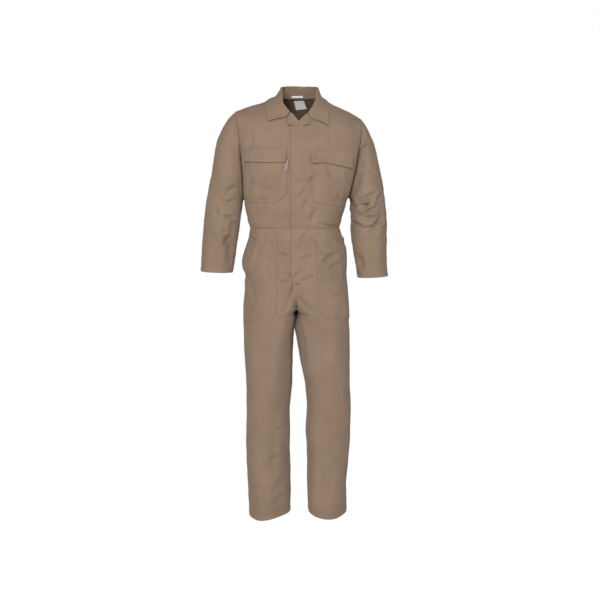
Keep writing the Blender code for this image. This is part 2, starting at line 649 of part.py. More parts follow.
# ------------------------------------------------------------------ collar, revers
# Guide lines of the collar on each side, from the front end (0) past the shoulder
# (0.5) to the centre back (1): the fold along its top and the outer edge of its leaf.
COLLAR = {
    "right": table(
        "at    fold_x  fold_y  fold_z   leaf_x  leaf_y  leaf_z",
        (0.00, 0.0235, -0.0890, -0.0515, 0.1027, -0.100, -0.0758),
        (0.25, 0.0455, -0.0670, -0.0080, 0.1090, -0.062, -0.0340),
        (0.50, 0.0600, -0.0050, 0.0410, 0.1144, 0.002, 0.0080),
        (0.75, 0.0450, 0.0450, 0.0545, 0.0820, 0.070, 0.0030),
        (1.00, 0.0000, 0.0660, 0.0580, 0.0000, 0.098, 0.0060),
    ),
    "left": table(
        "at    fold_x  fold_y  fold_z   leaf_x  leaf_y  leaf_z",
        (0.00, 0.0387, -0.0880, -0.0550, 0.1118, -0.103, -0.0896),
        (0.25, 0.0600, -0.0640, -0.0160, 0.1130, -0.062, -0.0410),
        (0.50, 0.0735, -0.0050, 0.0370, 0.1080, 0.002, 0.0060),
        (0.75, 0.0520, 0.0450, 0.0530, 0.0840, 0.070, 0.0020),
        (1.00, 0.0000, 0.0660, 0.0580, 0.0000, 0.098, 0.0060),
    ),
}
COLLAR_START = {"right": 3, "left": 4}      # front column where the collar starts
FOLD_RADIUS = 0.0035
LEAF_SHARES = (0.0, 0.14, 0.42, 0.72, 1.0)
NOTCH_DROP = 0.013       # how far the front end dips to the notch with the revers
SEAM_CLEAR = 0.0010      # first face of the collar over the panel, along the neck seam
STAND_CLEAR = 0.0016     # first face of the stand over the front, where the collar lies down
LEAF_CLEAR = 0.0056      # outer face of the leaf over the panel
REVERS_CLEAR = 0.0033    # outer face of the revers over the panel
LABEL_CLEAR = 0.0006     # neck label over the stand's curved face
REVERS = {
    "right": table("x z", (0.0006, -0.0945), (0.0324, -0.0945), (0.0338, -0.0705), (0.0225, -0.0560),
                   (0.0006, -0.0815)),
    "left": table("x z", (0.0006, -0.0945), (0.0440, -0.0945), (0.0457, -0.0720), (0.0370, -0.0600),
                  (0.0006, -0.0815)),
}


def bodice_skin():
    """Close samples of the bodice's outer face near the neck, with normals."""
    points, normals = [], []
    for side in ("right", "left"):
        for face in ("front", "back"):
            x = np.linspace(0, ARMHOLE[side]["tip"][0], 60)[None, :]
            top = top_z(side, face, x)
            if face == "front":
                top = np.broadcast_to(crest_z(side, x), top.shape) - 0.004
            z = top + (-0.15 - top) * np.linspace(0, 1, 60)[:, None] ** 1.5
            grid = place(side, face, np.broadcast_to(x, z.shape), bodice_y(side, face, x, z), z)
            piece = Piece("skin", grid, CHEST_CENTRE)
            points.append(piece.points)
            normals.append(piece.normals)
    return np.concatenate(points), np.concatenate(normals)


def settle(points, skin, clear, hold=0.0):
    """Points moved along the bodice's normals until they stand clear of its face, and
    down onto that height too where hold is 1."""
    flat = points.reshape(-1, 3).copy()
    for _ in range(3):
        nearest = np.argmin(((flat[:, None] - skin[0][None]) ** 2).sum(-1), axis=1)
        normal = skin[1][nearest]
        short = clear - np.sum((flat - skin[0][nearest]) * normal, axis=1)
        flat += normal * (np.clip(short, 0, None) + hold * np.clip(short, None, 0))[:, None]
    return flat.reshape(points.shape)


def neckline(side, front, back):
    """Points of the neck seam from the collar's front end to the centre back, with a
    point half way along each edge, and how far along it each one is."""
    start, neck = COLLAR_START[side], len(FRONT_COLUMNS[side]["fixed"]) - 1
    before = front[0].at(front[0].points)[0, start:neck + 1]
    rear = back[0].at(back[0].points)[0]
    middle = len(rear) // 2
    reach = len(BACK_COLUMNS["fixed"])
    rear = rear[middle - reach + 1:middle + 1] if side == "right" else rear[middle:middle + reach][::-1]
    lines = []
    for line, low in ((before, 0.0), (np.concatenate([before[-1:], rear]), 0.5)):
        dense = np.empty((2 * len(line) - 1, 3))
        dense[::2], dense[1::2] = line, (line[1:] + line[:-1]) / 2
        length = np.concatenate([[0], np.cumsum(np.linalg.norm(np.diff(dense, axis=0), axis=1))])
        lines.append((dense, low + 0.5 * length / length[-1]))
    return (np.concatenate([lines[0][0], lines[1][0][1:]]),
            np.concatenate([lines[0][1], lines[1][1][1:]]))


def collar_half(side, front, back, skin):
    """Grid of half the collar: up the stand, over the fold and down the leaf."""
    seam, at = neckline(side, front, back)
    rows = COLLAR[side]
    flip = np.array([SIGN[side], 1, 1])
    fold = np.stack([smooth(at, rows["at"], rows["fold_" + k]) for k in "xyz"], -1) * flip
    leaf = np.stack([smooth(at, rows["at"], rows["leaf_" + k]) for k in "xyz"], -1) * flip
    away = leaf - fold
    away[:, Z] = 0
    away = unit(away)
    up = np.array([0, 0, 1.0])
    lying = np.clip((0.44 - at) / 0.2, 0, 1)
    standing = (1 - lying)[:, None]
    seam = settle(seam - away * 0.0012 + up * 0.0008, skin, SEAM_CLEAR * np.clip((0.5 - at) / 0.1, 0, 1), lying)
    round_off = FOLD_RADIUS * 0.8
    inside = fold + away * (round_off * lying[:, None] - FOLD_RADIUS * standing) - up * round_off * standing
    outside = fold + away * (round_off * lying[:, None] + FOLD_RADIUS * standing) - up * round_off * standing
    lines = [seam]
    for line, clear in ((seam * 0.45 + inside * 0.55, STAND_CLEAR), (inside, STAND_CLEAR),
                        (fold, (STAND_CLEAR + LEAF_CLEAR) / 2)):
        lines.append(settle(line, skin, clear, lying))
    notch = np.clip(1 - at / 0.3, 0, 1) * NOTCH_DROP
    for share in LEAF_SHARES:
        dip = min(share / LEAF_SHARES[1], (1 - share) / (1 - LEAF_SHARES[1]))
        line = outside + (leaf - outside) * share - up * (notch * dip)[:, None]
        lines.append(settle(line, skin, LEAF_CLEAR if share else LEAF_CLEAR * lying, lying))
    return np.stack(lines)


def collar(fronts, back):
    """Turned-down collar in one piece, and the woven label on its stand."""
    skin = bodice_skin()
    right = collar_half("right", fronts["right"], back, skin)
    left = collar_half("left", fronts["left"], back, skin)
    middle = (right[:, -1:] + left[:, -1:]) / 2
    points = np.concatenate([right[:, :-1], middle, left[:, -2::-1]], axis=1)
    piece = Piece("collar", points, (0, 0, -0.6))
    inward = -piece.at(piece.normals)
    wall(piece, inward)
    centre = right.shape[1] - 1
    faces = cut_faces(piece, (0, 1), (centre - 4, centre + 4))
    shrunk = piece.at(piece.points).copy()
    shrunk[1] = shrunk[0] + (shrunk[1] - shrunk[0]) * 0.5
    shrunk[0] = shrunk[0] + (shrunk[1] - shrunk[0]) * 0.1
    overlay("neck_label", shrunk, inward, faces, LABEL_CLEAR, LABEL, WHITE)
    return skin


def revers(side, count=4):
    """Turned-back top corner of a front: a small sheet between five corners."""
    c = REVERS[side]
    u, v = np.meshgrid(np.linspace(0, 1, count + 1), np.linspace(0, 1, count + 1))
    kink = 0.4
    inner_x = np.where(v < kink, c["x"][0], c["x"][4] + (c["x"][3] - c["x"][4]) * (v - kink) / (1 - kink))
    inner_z = np.where(v < kink, c["z"][0] + (c["z"][4] - c["z"][0]) * v / kink,
                       c["z"][4] + (c["z"][3] - c["z"][4]) * (v - kink) / (1 - kink))
    outer_x = c["x"][1] + (c["x"][2] - c["x"][1]) * v
    outer_z = c["z"][1] + (c["z"][2] - c["z"][1]) * v
    x = inner_x + (outer_x - inner_x) * u
    z = inner_z + (outer_z - inner_z) * u
    y = bodice_y(side, "front", x, z)
    piece = Piece("revers_" + side, place(side, "front", x, y, z), CHEST_CENTRE)
    inward = -piece.at(piece.normals)
    lift = REVERS_CLEAR - PATCH + 0.0012 * u * (1 - v)
    overlay(piece.name, piece.at(piece.points), inward, piece.faces, lift, PATCH)


# ------------------------------------------------------------------------- labels
def on_panel(piece, field, r, c):
    """A panel's field at fractional rows and columns, read off its flat cells."""
    low_r, low_c = np.floor(r).astype(int), np.floor(c).astype(int)
    fr, fc = (r - low_r)[..., None], (c - low_c)[..., None]
    return ((field[low_r, low_c] * (1 - fr) + field[low_r + 1, low_c] * fr) * (1 - fc)
            + (field[low_r, low_c + 1] * (1 - fr) + field[low_r + 1, low_c + 1] * fr) * fc)


def small_sheet(name, panel, rows, cols, counts, lean, low, thickness, colour):
    """Label on a panel, between two of its rows and columns, leaning by some columns."""
    piece, inward = panel
    v, u = np.meshgrid(np.linspace(0, 1, counts[0]), np.linspace(0, 1, counts[1]), indexing="ij")
    r = rows[0] + (rows[1] - rows[0]) * v + lean[0] * (u - 0.5)
    c = cols[0] + (cols[1] - cols[0]) * u + lean[1] * (v - 0.5)
    sheet = Piece(name, on_panel(piece, piece.at(piece.points), r, c), CHEST_CENTRE)
    overlay(name, sheet.at(sheet.points), unit(on_panel(piece, inward, r, c)), sheet.faces, low,
            thickness, colour)


def labels(back, front):
    """Blank woven label inside the back of the neck, and a blank tab sewn into the
    inner edge of the right chest pocket."""
    middle = back[0].shape[1] // 2
    small_sheet("care_label", back, (1.12, 2.08), (middle - 1, middle + 3), (4, 6), (0.1, 0.3),
                -CLOTH - 0.0003 - LABEL, LABEL, WHITE)
    small_sheet("pocket_tab", front, (7.05, 7.75), (3.5, 4.8), (4, 3), (0, 0),
                2 * SEAM + PATCH + 0.0001, LABEL, GREY)


# -------------------------------------------------------------------------- suit
def boiler_suit():
    """Every piece of the suit."""
    back, back_in = bodice_back()
    fronts, legs = {}, {}
    for side in ("right", "left"):
        front, front_in = bodice_front(side)
        front.points[:, X] += SIGN[side] * SEAM / 2
        tube, tube_in, count = sleeve(side)
        share_armhole(side, front_in, back_in, tube_in, count)
        close_bodice_edges(front_in, "centre", "side", count)
        fronts[side] = (front, front_in)
        wall(tube, tube_in)
        wall(front, front_in)
        chest_pocket(side, front, front_in)
        legs[side] = trouser_panel(side, "front")
        wall(*legs[side])
        hip_pocket(side, *legs[side])
        wall(*trouser_panel(side, "back"))
        revers(side)
    close_bodice_edges(back_in, "side", "side", len(armhole_angles("right")))
    wall(back, back_in)
    fly_strip(fronts, legs)
    collar(fronts, (back, back_in))
    labels((back, back_in), fronts["right"])


def clear_scene():
    """Start from an empty scene."""
    for thing in list(bpy.data.objects):
        bpy.data.objects.remove(thing, do_unlink=True)


clear_scene()
boiler_suit()
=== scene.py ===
"""Boiler suit of khaki cotton twill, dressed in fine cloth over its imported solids.

Metres, +Z up; the front faces -Y and the wearer's left is +X. Every panel is a grid of
points on the same form as its solid, with the folds, seams and hems of real cloth, and
a second sheet behind it that closes it to a thin shell.
"""
import math

import bpy
import numpy as np
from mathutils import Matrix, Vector


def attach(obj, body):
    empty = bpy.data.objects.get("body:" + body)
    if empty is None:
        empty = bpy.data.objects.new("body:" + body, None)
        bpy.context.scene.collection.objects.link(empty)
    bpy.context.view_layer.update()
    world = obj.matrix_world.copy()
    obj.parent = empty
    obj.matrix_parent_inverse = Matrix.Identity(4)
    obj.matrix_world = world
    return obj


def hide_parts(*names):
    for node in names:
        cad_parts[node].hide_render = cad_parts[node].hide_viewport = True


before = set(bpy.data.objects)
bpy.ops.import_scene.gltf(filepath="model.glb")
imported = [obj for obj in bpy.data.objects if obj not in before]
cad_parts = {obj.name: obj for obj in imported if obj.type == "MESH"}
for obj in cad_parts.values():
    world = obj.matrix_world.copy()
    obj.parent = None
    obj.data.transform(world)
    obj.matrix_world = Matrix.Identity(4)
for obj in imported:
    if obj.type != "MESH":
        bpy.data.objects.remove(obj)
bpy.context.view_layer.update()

# ---------------------------------------------------------------- driving sizes
WAIST_Z = -0.462        # waist seam
CROTCH_Z = -0.777       # where the four leg seams meet
HEM_Z = -1.551          # trouser hems
NAPE_Z = 0.0145         # neck seam at the centre back
FLOOR_Z = -1.63
NECK_DOME = 0.045       # how far the rounded neck base rises over the shoulder line
ROLL = 0.066            # height over which a shoulder turns from top to front
ARMHOLE_HALF = 0.066    # half the armhole's depth, front to back
CORNER = 2.3            # fullness of a section across
ROUND = 2.1             # fullness of a section in depth
RISE_TOP = {"front": -0.68, "back": -0.66}    # where the centre seam starts to turn under
THIGH_TOP, THIGH_END = -0.56, -0.98           # the outer side changes from hip to leg section
LEG_LEAN = {"right": 1.35, "left": 0.78}      # over 1 the leg's crown lies nearer its outer side
LEAN_TOP, LEAN_RUN = -0.80, 0.25              # where the lean starts, and over what height
SHANK_TOP, SHANK_RUN = -0.62, 0.20            # the same for the leg's long soft waves
DIP_TOP, DIP_RUN = -1.40, 0.15                # the same for the uneven curve of a hem
CELL = 0.0045           # step of the cloth grids
TWILL = 0.0012          # thickness of the cloth
CLOTH = "khaki_twill"
SIGN = {"right": -1, "left": 1}
FACE = {"front": -1, "back": 1}
X, Y, Z = 0, 1, 2
FIRST, LAST, TOP, BOTTOM = 0, 1, 2, 3         # a grid's edges: u = 0, u = 1, v = 0, v = 1
ALL = slice(None)


def table(columns, *rows):
    """Short table in millimetres: column names, then one row for each section. Only the
    column named at holds shares from 0 to 1."""
    return {name: values if name == "at" else values / 1000
            for name, values in zip(columns.split(), np.array(rows, float).T)}


# Outline and depth of the body, waist, hips and legs. right and left are the outer
# edges each side of the centre front, front and back the depths before and behind
# the side seams.
BODY = table(
    "z        right   left   front  back",
    (30, 223.5, 236.5, 46, 58),
    (0, 223.5, 236.5, 62, 78),
    (-80, 223.5, 236.5, 94, 114),
    (-150, 210, 225, 115, 133),
    (-220, 205, 220, 128, 140),
    (-300, 200, 200, 130, 138),
    (-355, 194.5, 187, 127, 130),
    (-397, 189.5, 174.5, 122, 121),
    (-434, 178, 161, 116, 114),
    (-452, 171.5, 156, 114, 112),
    (-470, 170.5, 158.5, 112, 110),
    (-490, 174.5, 163.5, 115, 116),
    (-509, 180, 171.2, 118, 122),
    (-546, 192.5, 182.2, 123, 133),
    (-575, 201, 184.5, 125, 137),
    (-595, 204, 185.5, 125, 140),
    (-615, 202.2, 185, 125, 141),
    (-632, 195, 184, 124, 142),
    (-648, 190.5, 184.5, 123, 142),
    (-677, 192, 188, 121, 141),
    (-770, 199, 194.5, 114, 128),
    (-843, 199.2, 195, 106, 114),
    (-924, 199, 195.5, 97, 104),
    (-1058, 192.5, 197, 88, 93),
    (-1147, 192, 202, 84, 89),
    (-1252, 193.5, 202, 82, 87),
    (-1330, 191.5, 198, 82, 85),
    (-1449, 185, 188.5, 83, 83),
    (-1551, 181.5, 188.5, 84, 81),
)

# Where the inside leg seams run, each side of the middle.
INSEAM = table(
    "z        right   left",
    (-777, 0, 0),
    (-838, 9.4, -9.4),
    (-862, 13.4, -4),
    (-924, 16.5, 6),
    (-981, 18, 17),
    (-1058, 20, 30),
    (-1147, 28, 36),
    (-1230, 27.5, 33.5),
    (-1290, 28.5, 39),
    (-1330, 28.2, 41),
    (-1449, 26.2, 42.5),
    (-1551, 22.5, 45),
)

# Neck edge of the fronts, from the bottom of the V to the shoulder.
NECK = {
    "right": table("x z", (0, -74), (25.5, -45), (43, -22.5), (56, -4.5), (64, 8), (67, 17)),
    "left": table("x z", (0, -81), (6, -80), (24, -65), (47, -48.5), (64, -29), (74.5, -5),
                  (79, 17)),
}
NECK_X = {side: rows["x"][-1] for side, rows in NECK.items()}     # start of the shoulder seam
# Sag of the shoulder line: depth, middle and width.
SHOULDER_SAG = {"right": (0.0042, 0.128, 0.028), "left": (0.0030, 0.140, 0.040)}

# Shoulder tip and armpit of each armhole, and how far its middle bows outward.
ARMHOLE = {
    "right": {"tip": (0.2235, -0.038), "pit": (0.1945, -0.357), "bow": -0.007},
    "left": {"tip": (0.2365, -0.067), "pit": (0.1870, -0.353), "bow": 0.008},
}

# Sleeve sections after the armhole: outer and inner ends of each section, its half
# depth, how far it swings forward and how far its middle bows outward.
SLEEVE = {
    "right": table(
        "out_x   out_z    in_x    in_z    half   swing   bow",
        (245.5, -59, 198.5, -361, 73, 0, 0),
        (271.5, -97, 200, -368, 78, 0, 0),
        (289, -137, 200.5, -376, 81, 0, 0),
        (303, -196, 201.5, -386, 83, 0, 0),
        (312.5, -258, 203.5, -400, 83, 0, 0),
        (324, -313, 206.5, -420, 81, 1, 0),
        (336, -379, 210.5, -449, 78, 4, 0),
        (346, -453, 215.5, -482, 73, 8, 0),
        (351.2, -509, 221.5, -520, 68, 13, 0),
        (353.8, -564, 226.5, -565, 62, 18, 0),
        (356, -596, 232.5, -597, 58, 21, 0),
        (356.2, -622, 241.5, -627, 55, 24, 0),
    ),
    "left": table(
        "out_x   out_z    in_x    in_z    half   swing   bow",
        (250, -88, 194, -355, 73, 0, 18),
        (267.5, -121, 196.5, -362, 78, 0, 14),
        (283.8, -159, 197.5, -371, 81, 0, 8),
        (298.5, -214, 198, -381, 83, 0, 3),
        (310.5, -265, 196.5, -393, 83, 0, 0),
        (320.5, -316, 199.5, -409, 81, 1, 0),
        (327.5, -379, 200.5, -436, 78, 4, 0),
        (332, -442, 199, -471, 73, 8, 0),
        (332.8, -501, 202.5, -509, 68, 13, 0),
        (332.5, -553, 209.5, -555, 62, 18, 0),
        (335, -600, 216.5, -603, 58, 21, 0),
        (337.2, -645, 226.5, -651, 55, 24, 0),
    ),
}

# Folds as troughs along a bowed line with a ridge beside them, in millimetres: the
# line's ends x1 z1 x2 z2, half width, depth and bow in the middle; then the ridge's
# share of the depth. Sleeves count x outward from the middle.
FOLDS = {
    "sleeve_left": {
        "front": (
            (261, -146, 222, -172, 6.5, 6.5, 3, 0.5), (188, -335, 215, -390, 7, 7, -4, 0.5),
            (291, -331, 215, -363, 7.5, 5.5, 4, 0.6), (283, -348, 236, -386, 6, 5.5, 3, 0.5),
            (220, -379, 275, -377, 6, 4.5, 2, 0.5), (257, -399, 213, -414, 6.5, 6, 2, 0.5),
            (222, -420, 284, -431, 7.5, 5, 3, 0.5), (202, -440, 240, -460, 6.5, 5.5, 2, 0.5),
            (240, -463, 293, -457, 6.5, 5, 2, 0.5), (312, -414, 258, -484, 8, 5.5, 4, 0.6),
            (306, -458, 256, -500, 6.5, 4.5, 3, 0.5), (234, -244, 282, -261, 12, 3, 4, 0.4),
            (318, -335, 288, -358, 7, 3.5, 2, 0.4), (297, -380, 252, -400, 6.5, 4.5, 3, 0.6),
            (316, -431, 280, -447, 6.5, 4, 2, 0.6), (226, -560, 238, -612, 11, 4, 1, 0.4),
        ),
        "back": (
            (205, -365, 300, -335, 8, 6, 4, 0.5), (325, -385, 235, -412, 8.5, 5.5, 4, 0.5),
            (205, -430, 295, -452, 8, 5.5, 4, 0.5), (325, -462, 250, -498, 8, 4.5, 3, 0.5),
            (245, -160, 285, -205, 9, 4, 3, 0.4), (215, -345, 245, -352, 8, 1.8, 3, 0.4),
            (240, -545, 310, -530, 10, 3, 3, 0.4),
        ),
    },
    "sleeve_right": {
        "front": (
            (265, -418, 225, -423, 6.5, 6.5, 1, 0.5), (304, -388, 280, -414, 6.5, 5, 1, 0.5),
            (218, -313, 260, -339, 11, 5, 3, 0.4), (225, -361, 251, -374, 7, 4.5, 2, 0.4),
            (291, -357, 247, -366, 9, 4, 3, 0.4), (239, -493, 266, -524, 10, 5, 3, 0.4),
            (262, -436, 257, -515, 12, 3.5, 3, 0.4), (234, -436, 239, -544, 12, 4, 2, 0.4),
            (243, -490, 240, -600, 17, 5, 2, 0.2), (216, -110, 223, -144, 6, 3, 1, 0.4),
            (203, -187, 188, -205, 6.5, 3, 1, 0.4), (330, -470, 300, -495, 10, 3, 2, 0.4),
        ),
        "back": (
            (215, -395, 310, -370, 9, 6, 4, 0.5), (335, -420, 240, -448, 9, 5.5, 4, 0.5),
            (225, -340, 300, -350, 8, 4.5, 3, 0.4), (240, -480, 320, -498, 8, 4.5, 3, 0.4),
            (240, -130, 275, -175, 10, 3.5, 3, 0.4),
        ),
    },
    "body": {
        "front": (
            (-165, -110, -163, -165, 8, 2.2, 1, 0.4), (120, -120, 121, -172, 8, 2.2, 1, 0.4),
            (-96, -261, -61, -296, 8, 2.5, 1, 0.4), (40, -300, 84, -261, 10, 2.5, 2, 0.4),
            (40, -288, 70, -284, 5.5, 2.5, 1, 0.4), (49, -434, 75, -391, 9, 3, 2, 0.4),
            (76, -440, 104, -452, 6.5, 2.6, 1, 0.5), (104, -452, 147, -462, 6.5, 2.4, 1, 0.5),
            (-170, -497, -149, -510, 6, 4.5, 1, 0.5), (-105, -517, -81, -519, 6, 3, 1, 0.5),
            (-70, -552, -35, -561, 6.5, 4, 1, 0.5), (34, -476, -1, -536, 8, 4, 2, 0.5),
            (54, -491, 84, -539, 7.5, 4, 2, 0.5), (84, -539, 119, -565, 7, 4, -2, 0.5),
            (150, -504, 176, -528, 6.5, 4.5, 1, 0.5), (93, -583, 150, -554, 10, 5, 3, 0.5),
            (-150, -715, -185, -629, 7.5, 5.5, 3, 0.5), (-43, -618, -17, -641, 6, 3, 1, 0.5),
            (10, -578, 62, -560, 7, 2.8, 3, 0.5), (-8, -630, 20, -614, 6, 2.8, 1, 0.5),
            (18, -650, 64, -636, 7.5, 2.4, 2, 0.5), (114, -612, 160, -590, 8, 2.8, 2, 0.5),
            (-120, -560, -86, -584, 8, 2, 2, 0.5), (2, -305, 28, -288, 7, 2.2, 1, 0.5),
            (18, -397, 43, -357, 8, 2.6, 2, 0.5), (10, -350, 36, -322, 8, 2, 2, 0.5),
            (-58, -654, -29, -654, 6, 4, 1, 0.5), (-11, -665, 14, -665, 6, 4, 1, 0.5),
            (-17, -671, -33, -738, 7, 5, 2, 0.5), (-33, -738, -48, -760, 7.5, 4.5, 1, 0.5),
            (-6, -715, -4, -760, 5, 6, 0, 0.3), (6, -713, 27, -738, 6.5, 5, 1, 0.5),
            (14, -742, 72, -764, 11, 3.5, 3, 0.4), (3, -800, 24, -955, 9, 8, 3, 0.3),
            (124, -829, 148, -841, 8, 3.5, 1, 0.4), (-75, -1212, -41, -1218, 10, 4, 2, 0.4),
            (-58, -1279, -39, -1297, 8, 4, 1, 0.4), (-99, -1320, -64, -1322, 9, 4, 2, 0.4),
            (-91, -1247, -93, -1409, 14, 3, 2, 0.4), (-90, -1462, -47, -1403, 17, 4.5, 4, 0.5),
            (-94, -1507, -42, -1468, 16, 4, 3, 0.5), (124, -1297, 84, -1326, 12, 3, 2, 0.4),
            (120, -1380, 112, -1470, 14, 2.5, 2, 0.4),
        ),
        "back": (
            (-60, -700, -10, -745, 11, 5, 3, 0.4), (70, -705, 12, -740, 11, 5, 3, 0.4),
            (-12, -670, -45, -690, 8, 4, 2, 0.4), (-150, -500, -80, -520, 8, 4.5, 3, 0.5),
            (60, -495, 140, -515, 8, 4.5, 3, 0.5), (-130, -405, -50, -432, 11, 4.5, 4, 0.5),
            (50, -425, 130, -398, 11, 4.5, 4, 0.5), (-155, -290, -120, -370, 12, 3.5, 4, 0.4),
            (160, -280, 125, -365, 12, 3.5, 4, 0.4), (80, -1060, 150, -1090, 10, 4, 3, 0.4),
            (-150, -1080, -70, -1050, 10, 4, 3, 0.4), (70, -1130, 140, -1115, 9, 3.5, 3, 0.4),
            (-110, -1300, -105, -1470, 12, 3, 3, 0.4), (110, -1290, 115, -1460, 12, 3, 3, 0.4),
        ),
    },
}
FOLD_DEPTH = {"sleeve_left": 1.8, "sleeve_right": 1.45}   # how much deeper the folds are worn in
RISE_FOLDS, RISE_END = 1.65, -0.655       # the same on the upper body and rise, down to this height
CROTCH_DIMPLE = (-0.0035, -0.775, 0.009, 0.011)     # x, z, half width, depth
# Swells beside the waist seam: height, place over it and width.
BLOUSE = ((0.0036, 0.020, 0.014), (0.0018, -0.018, 0.012))
TUCK = {"depth": 0.014, "reach": 0.011, "start": -0.140, "full": -0.215}

# Soft unevenness in layers: height, seed, size and stretch downwards.
UNEVEN = {
    "trunk": ((0.0016, 1, 0.20, 1.5), (0.0009, 2, 0.10, 1), (0.0005, 3, 0.05, 1)),
    "shank": ((0.0022, 4, 0.17, 4), (0.0011, 5, 0.09, 3), (0.0005, 6, 0.05, 1.5)),
    "sleeve": ((0.0016, 7, 0.15, 1.6), (0.0010, 8, 0.075, 1), (0.0005, 9, 0.04, 1)),
    "collar": ((0.0008, 41, 0.06, 1), (0.0004, 42, 0.03, 1)),
}
WAVES = 8               # sines in one layer


# -------------------------------------------------------------------- arithmetic
def smooth(t, keys, values):
    """Monotone cubic through the rows of a table: no overshoot between sections."""
    keys, values = (keys, values) if keys[0] < keys[-1] else (keys[::-1], values[::-1])
    step = np.diff(keys)
    slope = np.diff(values) / step
    total = slope[:-1] + slope[1:]
    product = slope[:-1] * slope[1:]
    inner = np.where(product > 0, 2 * product / np.where(total == 0, 1, total), 0)
    tangent = np.concatenate([slope[:1], inner, slope[-1:]])
    t = np.clip(t, keys[0], keys[-1])
    k = np.clip(np.searchsorted(keys, t, side="right") - 1, 0, len(step) - 1)
    s = (t - keys[k]) / step[k]
    return (values[k] * (1 + 2 * s) * (1 - s) ** 2 + step[k] * tangent[k] * s * (1 - s) ** 2
            + values[k + 1] * s * s * (3 - 2 * s) + step[k] * tangent[k + 1] * s * s * (s - 1))


def mix(a, b, t):
    """Straight line from a at 0 to b at 1."""
    return a + (b - a) * t


def arc(t):
    """Quarter circle: 0 at 0, upright there, level at 1 and beyond."""
    return np.sqrt(1 - (1 - np.clip(t, 0, 1)) ** 2)


def ease(t):
    """Soft step from 0 to 1."""
    t = np.clip(t, 0, 1)
    return t * t * (3 - 2 * t)


def bell(t):
    """Bell curve: 1 at 0 and almost nothing beyond 2 on both sides."""
    return np.exp(-t ** 2)


def unit(v):
    """Vectors brought to a length of 1."""
    return v / np.maximum(np.linalg.norm(v, axis=-1, keepdims=True), 1e-12)


# ------------------------------------------------------------------ plain forms
def body(z, column):
    """One column of the body's table at these heights."""
    return smooth(z, BODY["z"], BODY[column])


def armhole_cos(side, z):
    """Cosine round the armhole loop at a height: 1 at the tip, -1 at the armpit."""
    tip, pit = ARMHOLE[side]["tip"][1], ARMHOLE[side]["pit"][1]
    return np.clip((2 * z - tip - pit) / (tip - pit), -1, 1)


def edge_x(side, z):
    """Outer edge of the upper panels: the armhole down to the armpit, then the side seam."""
    hole = ARMHOLE[side]
    c = armhole_cos(side, z)
    chord = mix(hole["pit"][0], hole["tip"][0], (1 + c) / 2)
    return np.where(z >= hole["pit"][1], chord + hole["bow"] * (1 - c * c), body(z, side))


def shoulder_z(side, x):
    """Shoulder line, a straight fall from the neck to the tip that sags a little."""
    neck_x, neck_z = NECK_X[side], NECK[side]["z"][-1]
    tip_x, tip_z = ARMHOLE[side]["tip"]
    depth, middle, width = SHOULDER_SAG[side]
    line = neck_z + (tip_z - neck_z) * (x - neck_x) / (tip_x - neck_x)
    return line - depth * bell((x - middle) / width)


def crest_z(side, x):
    """Shoulder line, with the neck's rounded base on its inner end."""
    neck = NECK_X[side]
    return shoulder_z(side, np.maximum(x, neck)) + NECK_DOME * (1 - np.clip(x / neck, 0, 1) ** 2)


def bodice_y(side, face, x, z):
    """Depth of the chest or back: the section's crown, rolled over at the shoulder."""
    share = np.clip(x / edge_x(side, z), 0, 1)
    crown = (1 - share ** CORNER) ** (1 / ROUND)
    full = body(z, face) * arc((crest_z(side, x) - z) / ROLL)
    c = armhole_cos(side, z)
    loop = ARMHOLE_HALF * (1 - c * c) ** (0.5 + 1.5 * (1 - share))
    return mix(loop, full, crown)


def top_z(side, face, x):
    """Top edge of an upper panel: the neck edge, then the shoulder seam."""
    rows = NECK[side]
    if face == "front":
        edge = smooth(x, rows["x"], rows["z"])
    else:
        edge = mix(NAPE_Z, rows["z"][-1], (x / NECK_X[side]) ** 2)
    return np.where(x < NECK_X[side], edge, shoulder_z(side, x))


def place(side, face, x, y, z):
    """Points on one side of the suit, from their distances off its two middle planes."""
    return np.stack([x * SIGN[side], y * FACE[face], z], axis=-1)


def inseam(side, z):
    """Distance of the inside leg seam from the middle, 0 above the crotch."""
    return np.where(z < CROTCH_Z, smooth(z, INSEAM["z"], INSEAM[side]), 0.0)


def leg_y(side, face, x, z):
    """Depth of the hips and legs: a hip section that turns into a leg section."""
    outer, inner, depth = body(z, side), inseam(side, z), body(z, face)
    f = np.clip((x - inner) / (outer - inner), 0, 1)
    hip = depth * (1 - f ** CORNER) ** (1 / ROUND)
    lean = mix(1, LEG_LEAN[side], ease((LEAN_TOP - z) / LEAN_RUN))
    leg = depth * (1 - np.abs(2 * f ** lean - 1) ** CORNER) ** (1 / ROUND)
    turn = np.clip((RISE_TOP[face] - z) / (RISE_TOP[face] - CROTCH_Z), 0, 1)
    under = 1 - np.sqrt(1 - turn ** 2)
    thigh = ease((THIGH_TOP - z) / (THIGH_TOP - THIGH_END))
    return mix(hip, leg, mix(under, thigh, ease(2 * f)))


# ------------------------------------------------------------------------- folds
def creases(points, folds):
    """Height of the folds: for each, a bell-shaped trough along its bowed line and a
    wider, lower ridge beside it, both fading out at the line's ends."""
    x, y, z = points[..., X], points[..., Y], points[..., Z]
    total = np.zeros(x.shape)
    for face, rows in folds.items():
        facing = np.clip(0.5 + y * FACE[face] / 0.03, 0, 1)
        for *sizes, ridge in rows:
            x1, z1, x2, z2, width, depth, bow = (size / 1000 for size in sizes)
            length = math.hypot(x2 - x1, z2 - z1)
            ax, az = (x2 - x1) / length, (z2 - z1) / length
            along = ((x - x1) * ax + (z - z1) * az) / length
            within = np.clip(along, -0.2, 1.2)
            off = (z - z1) * ax - (x - x1) * az - bow * 4 * within * (1 - within)
            fade = ease((along + 0.15) / 0.4) * ease((1.15 - along) / 0.4)
            w = width * (0.55 + 0.45 * fade)
            shape = ridge * bell((off - 1.9 * w) / (1.25 * w)) - bell(off / w)
            total += depth * shape * fade * facing
    return total


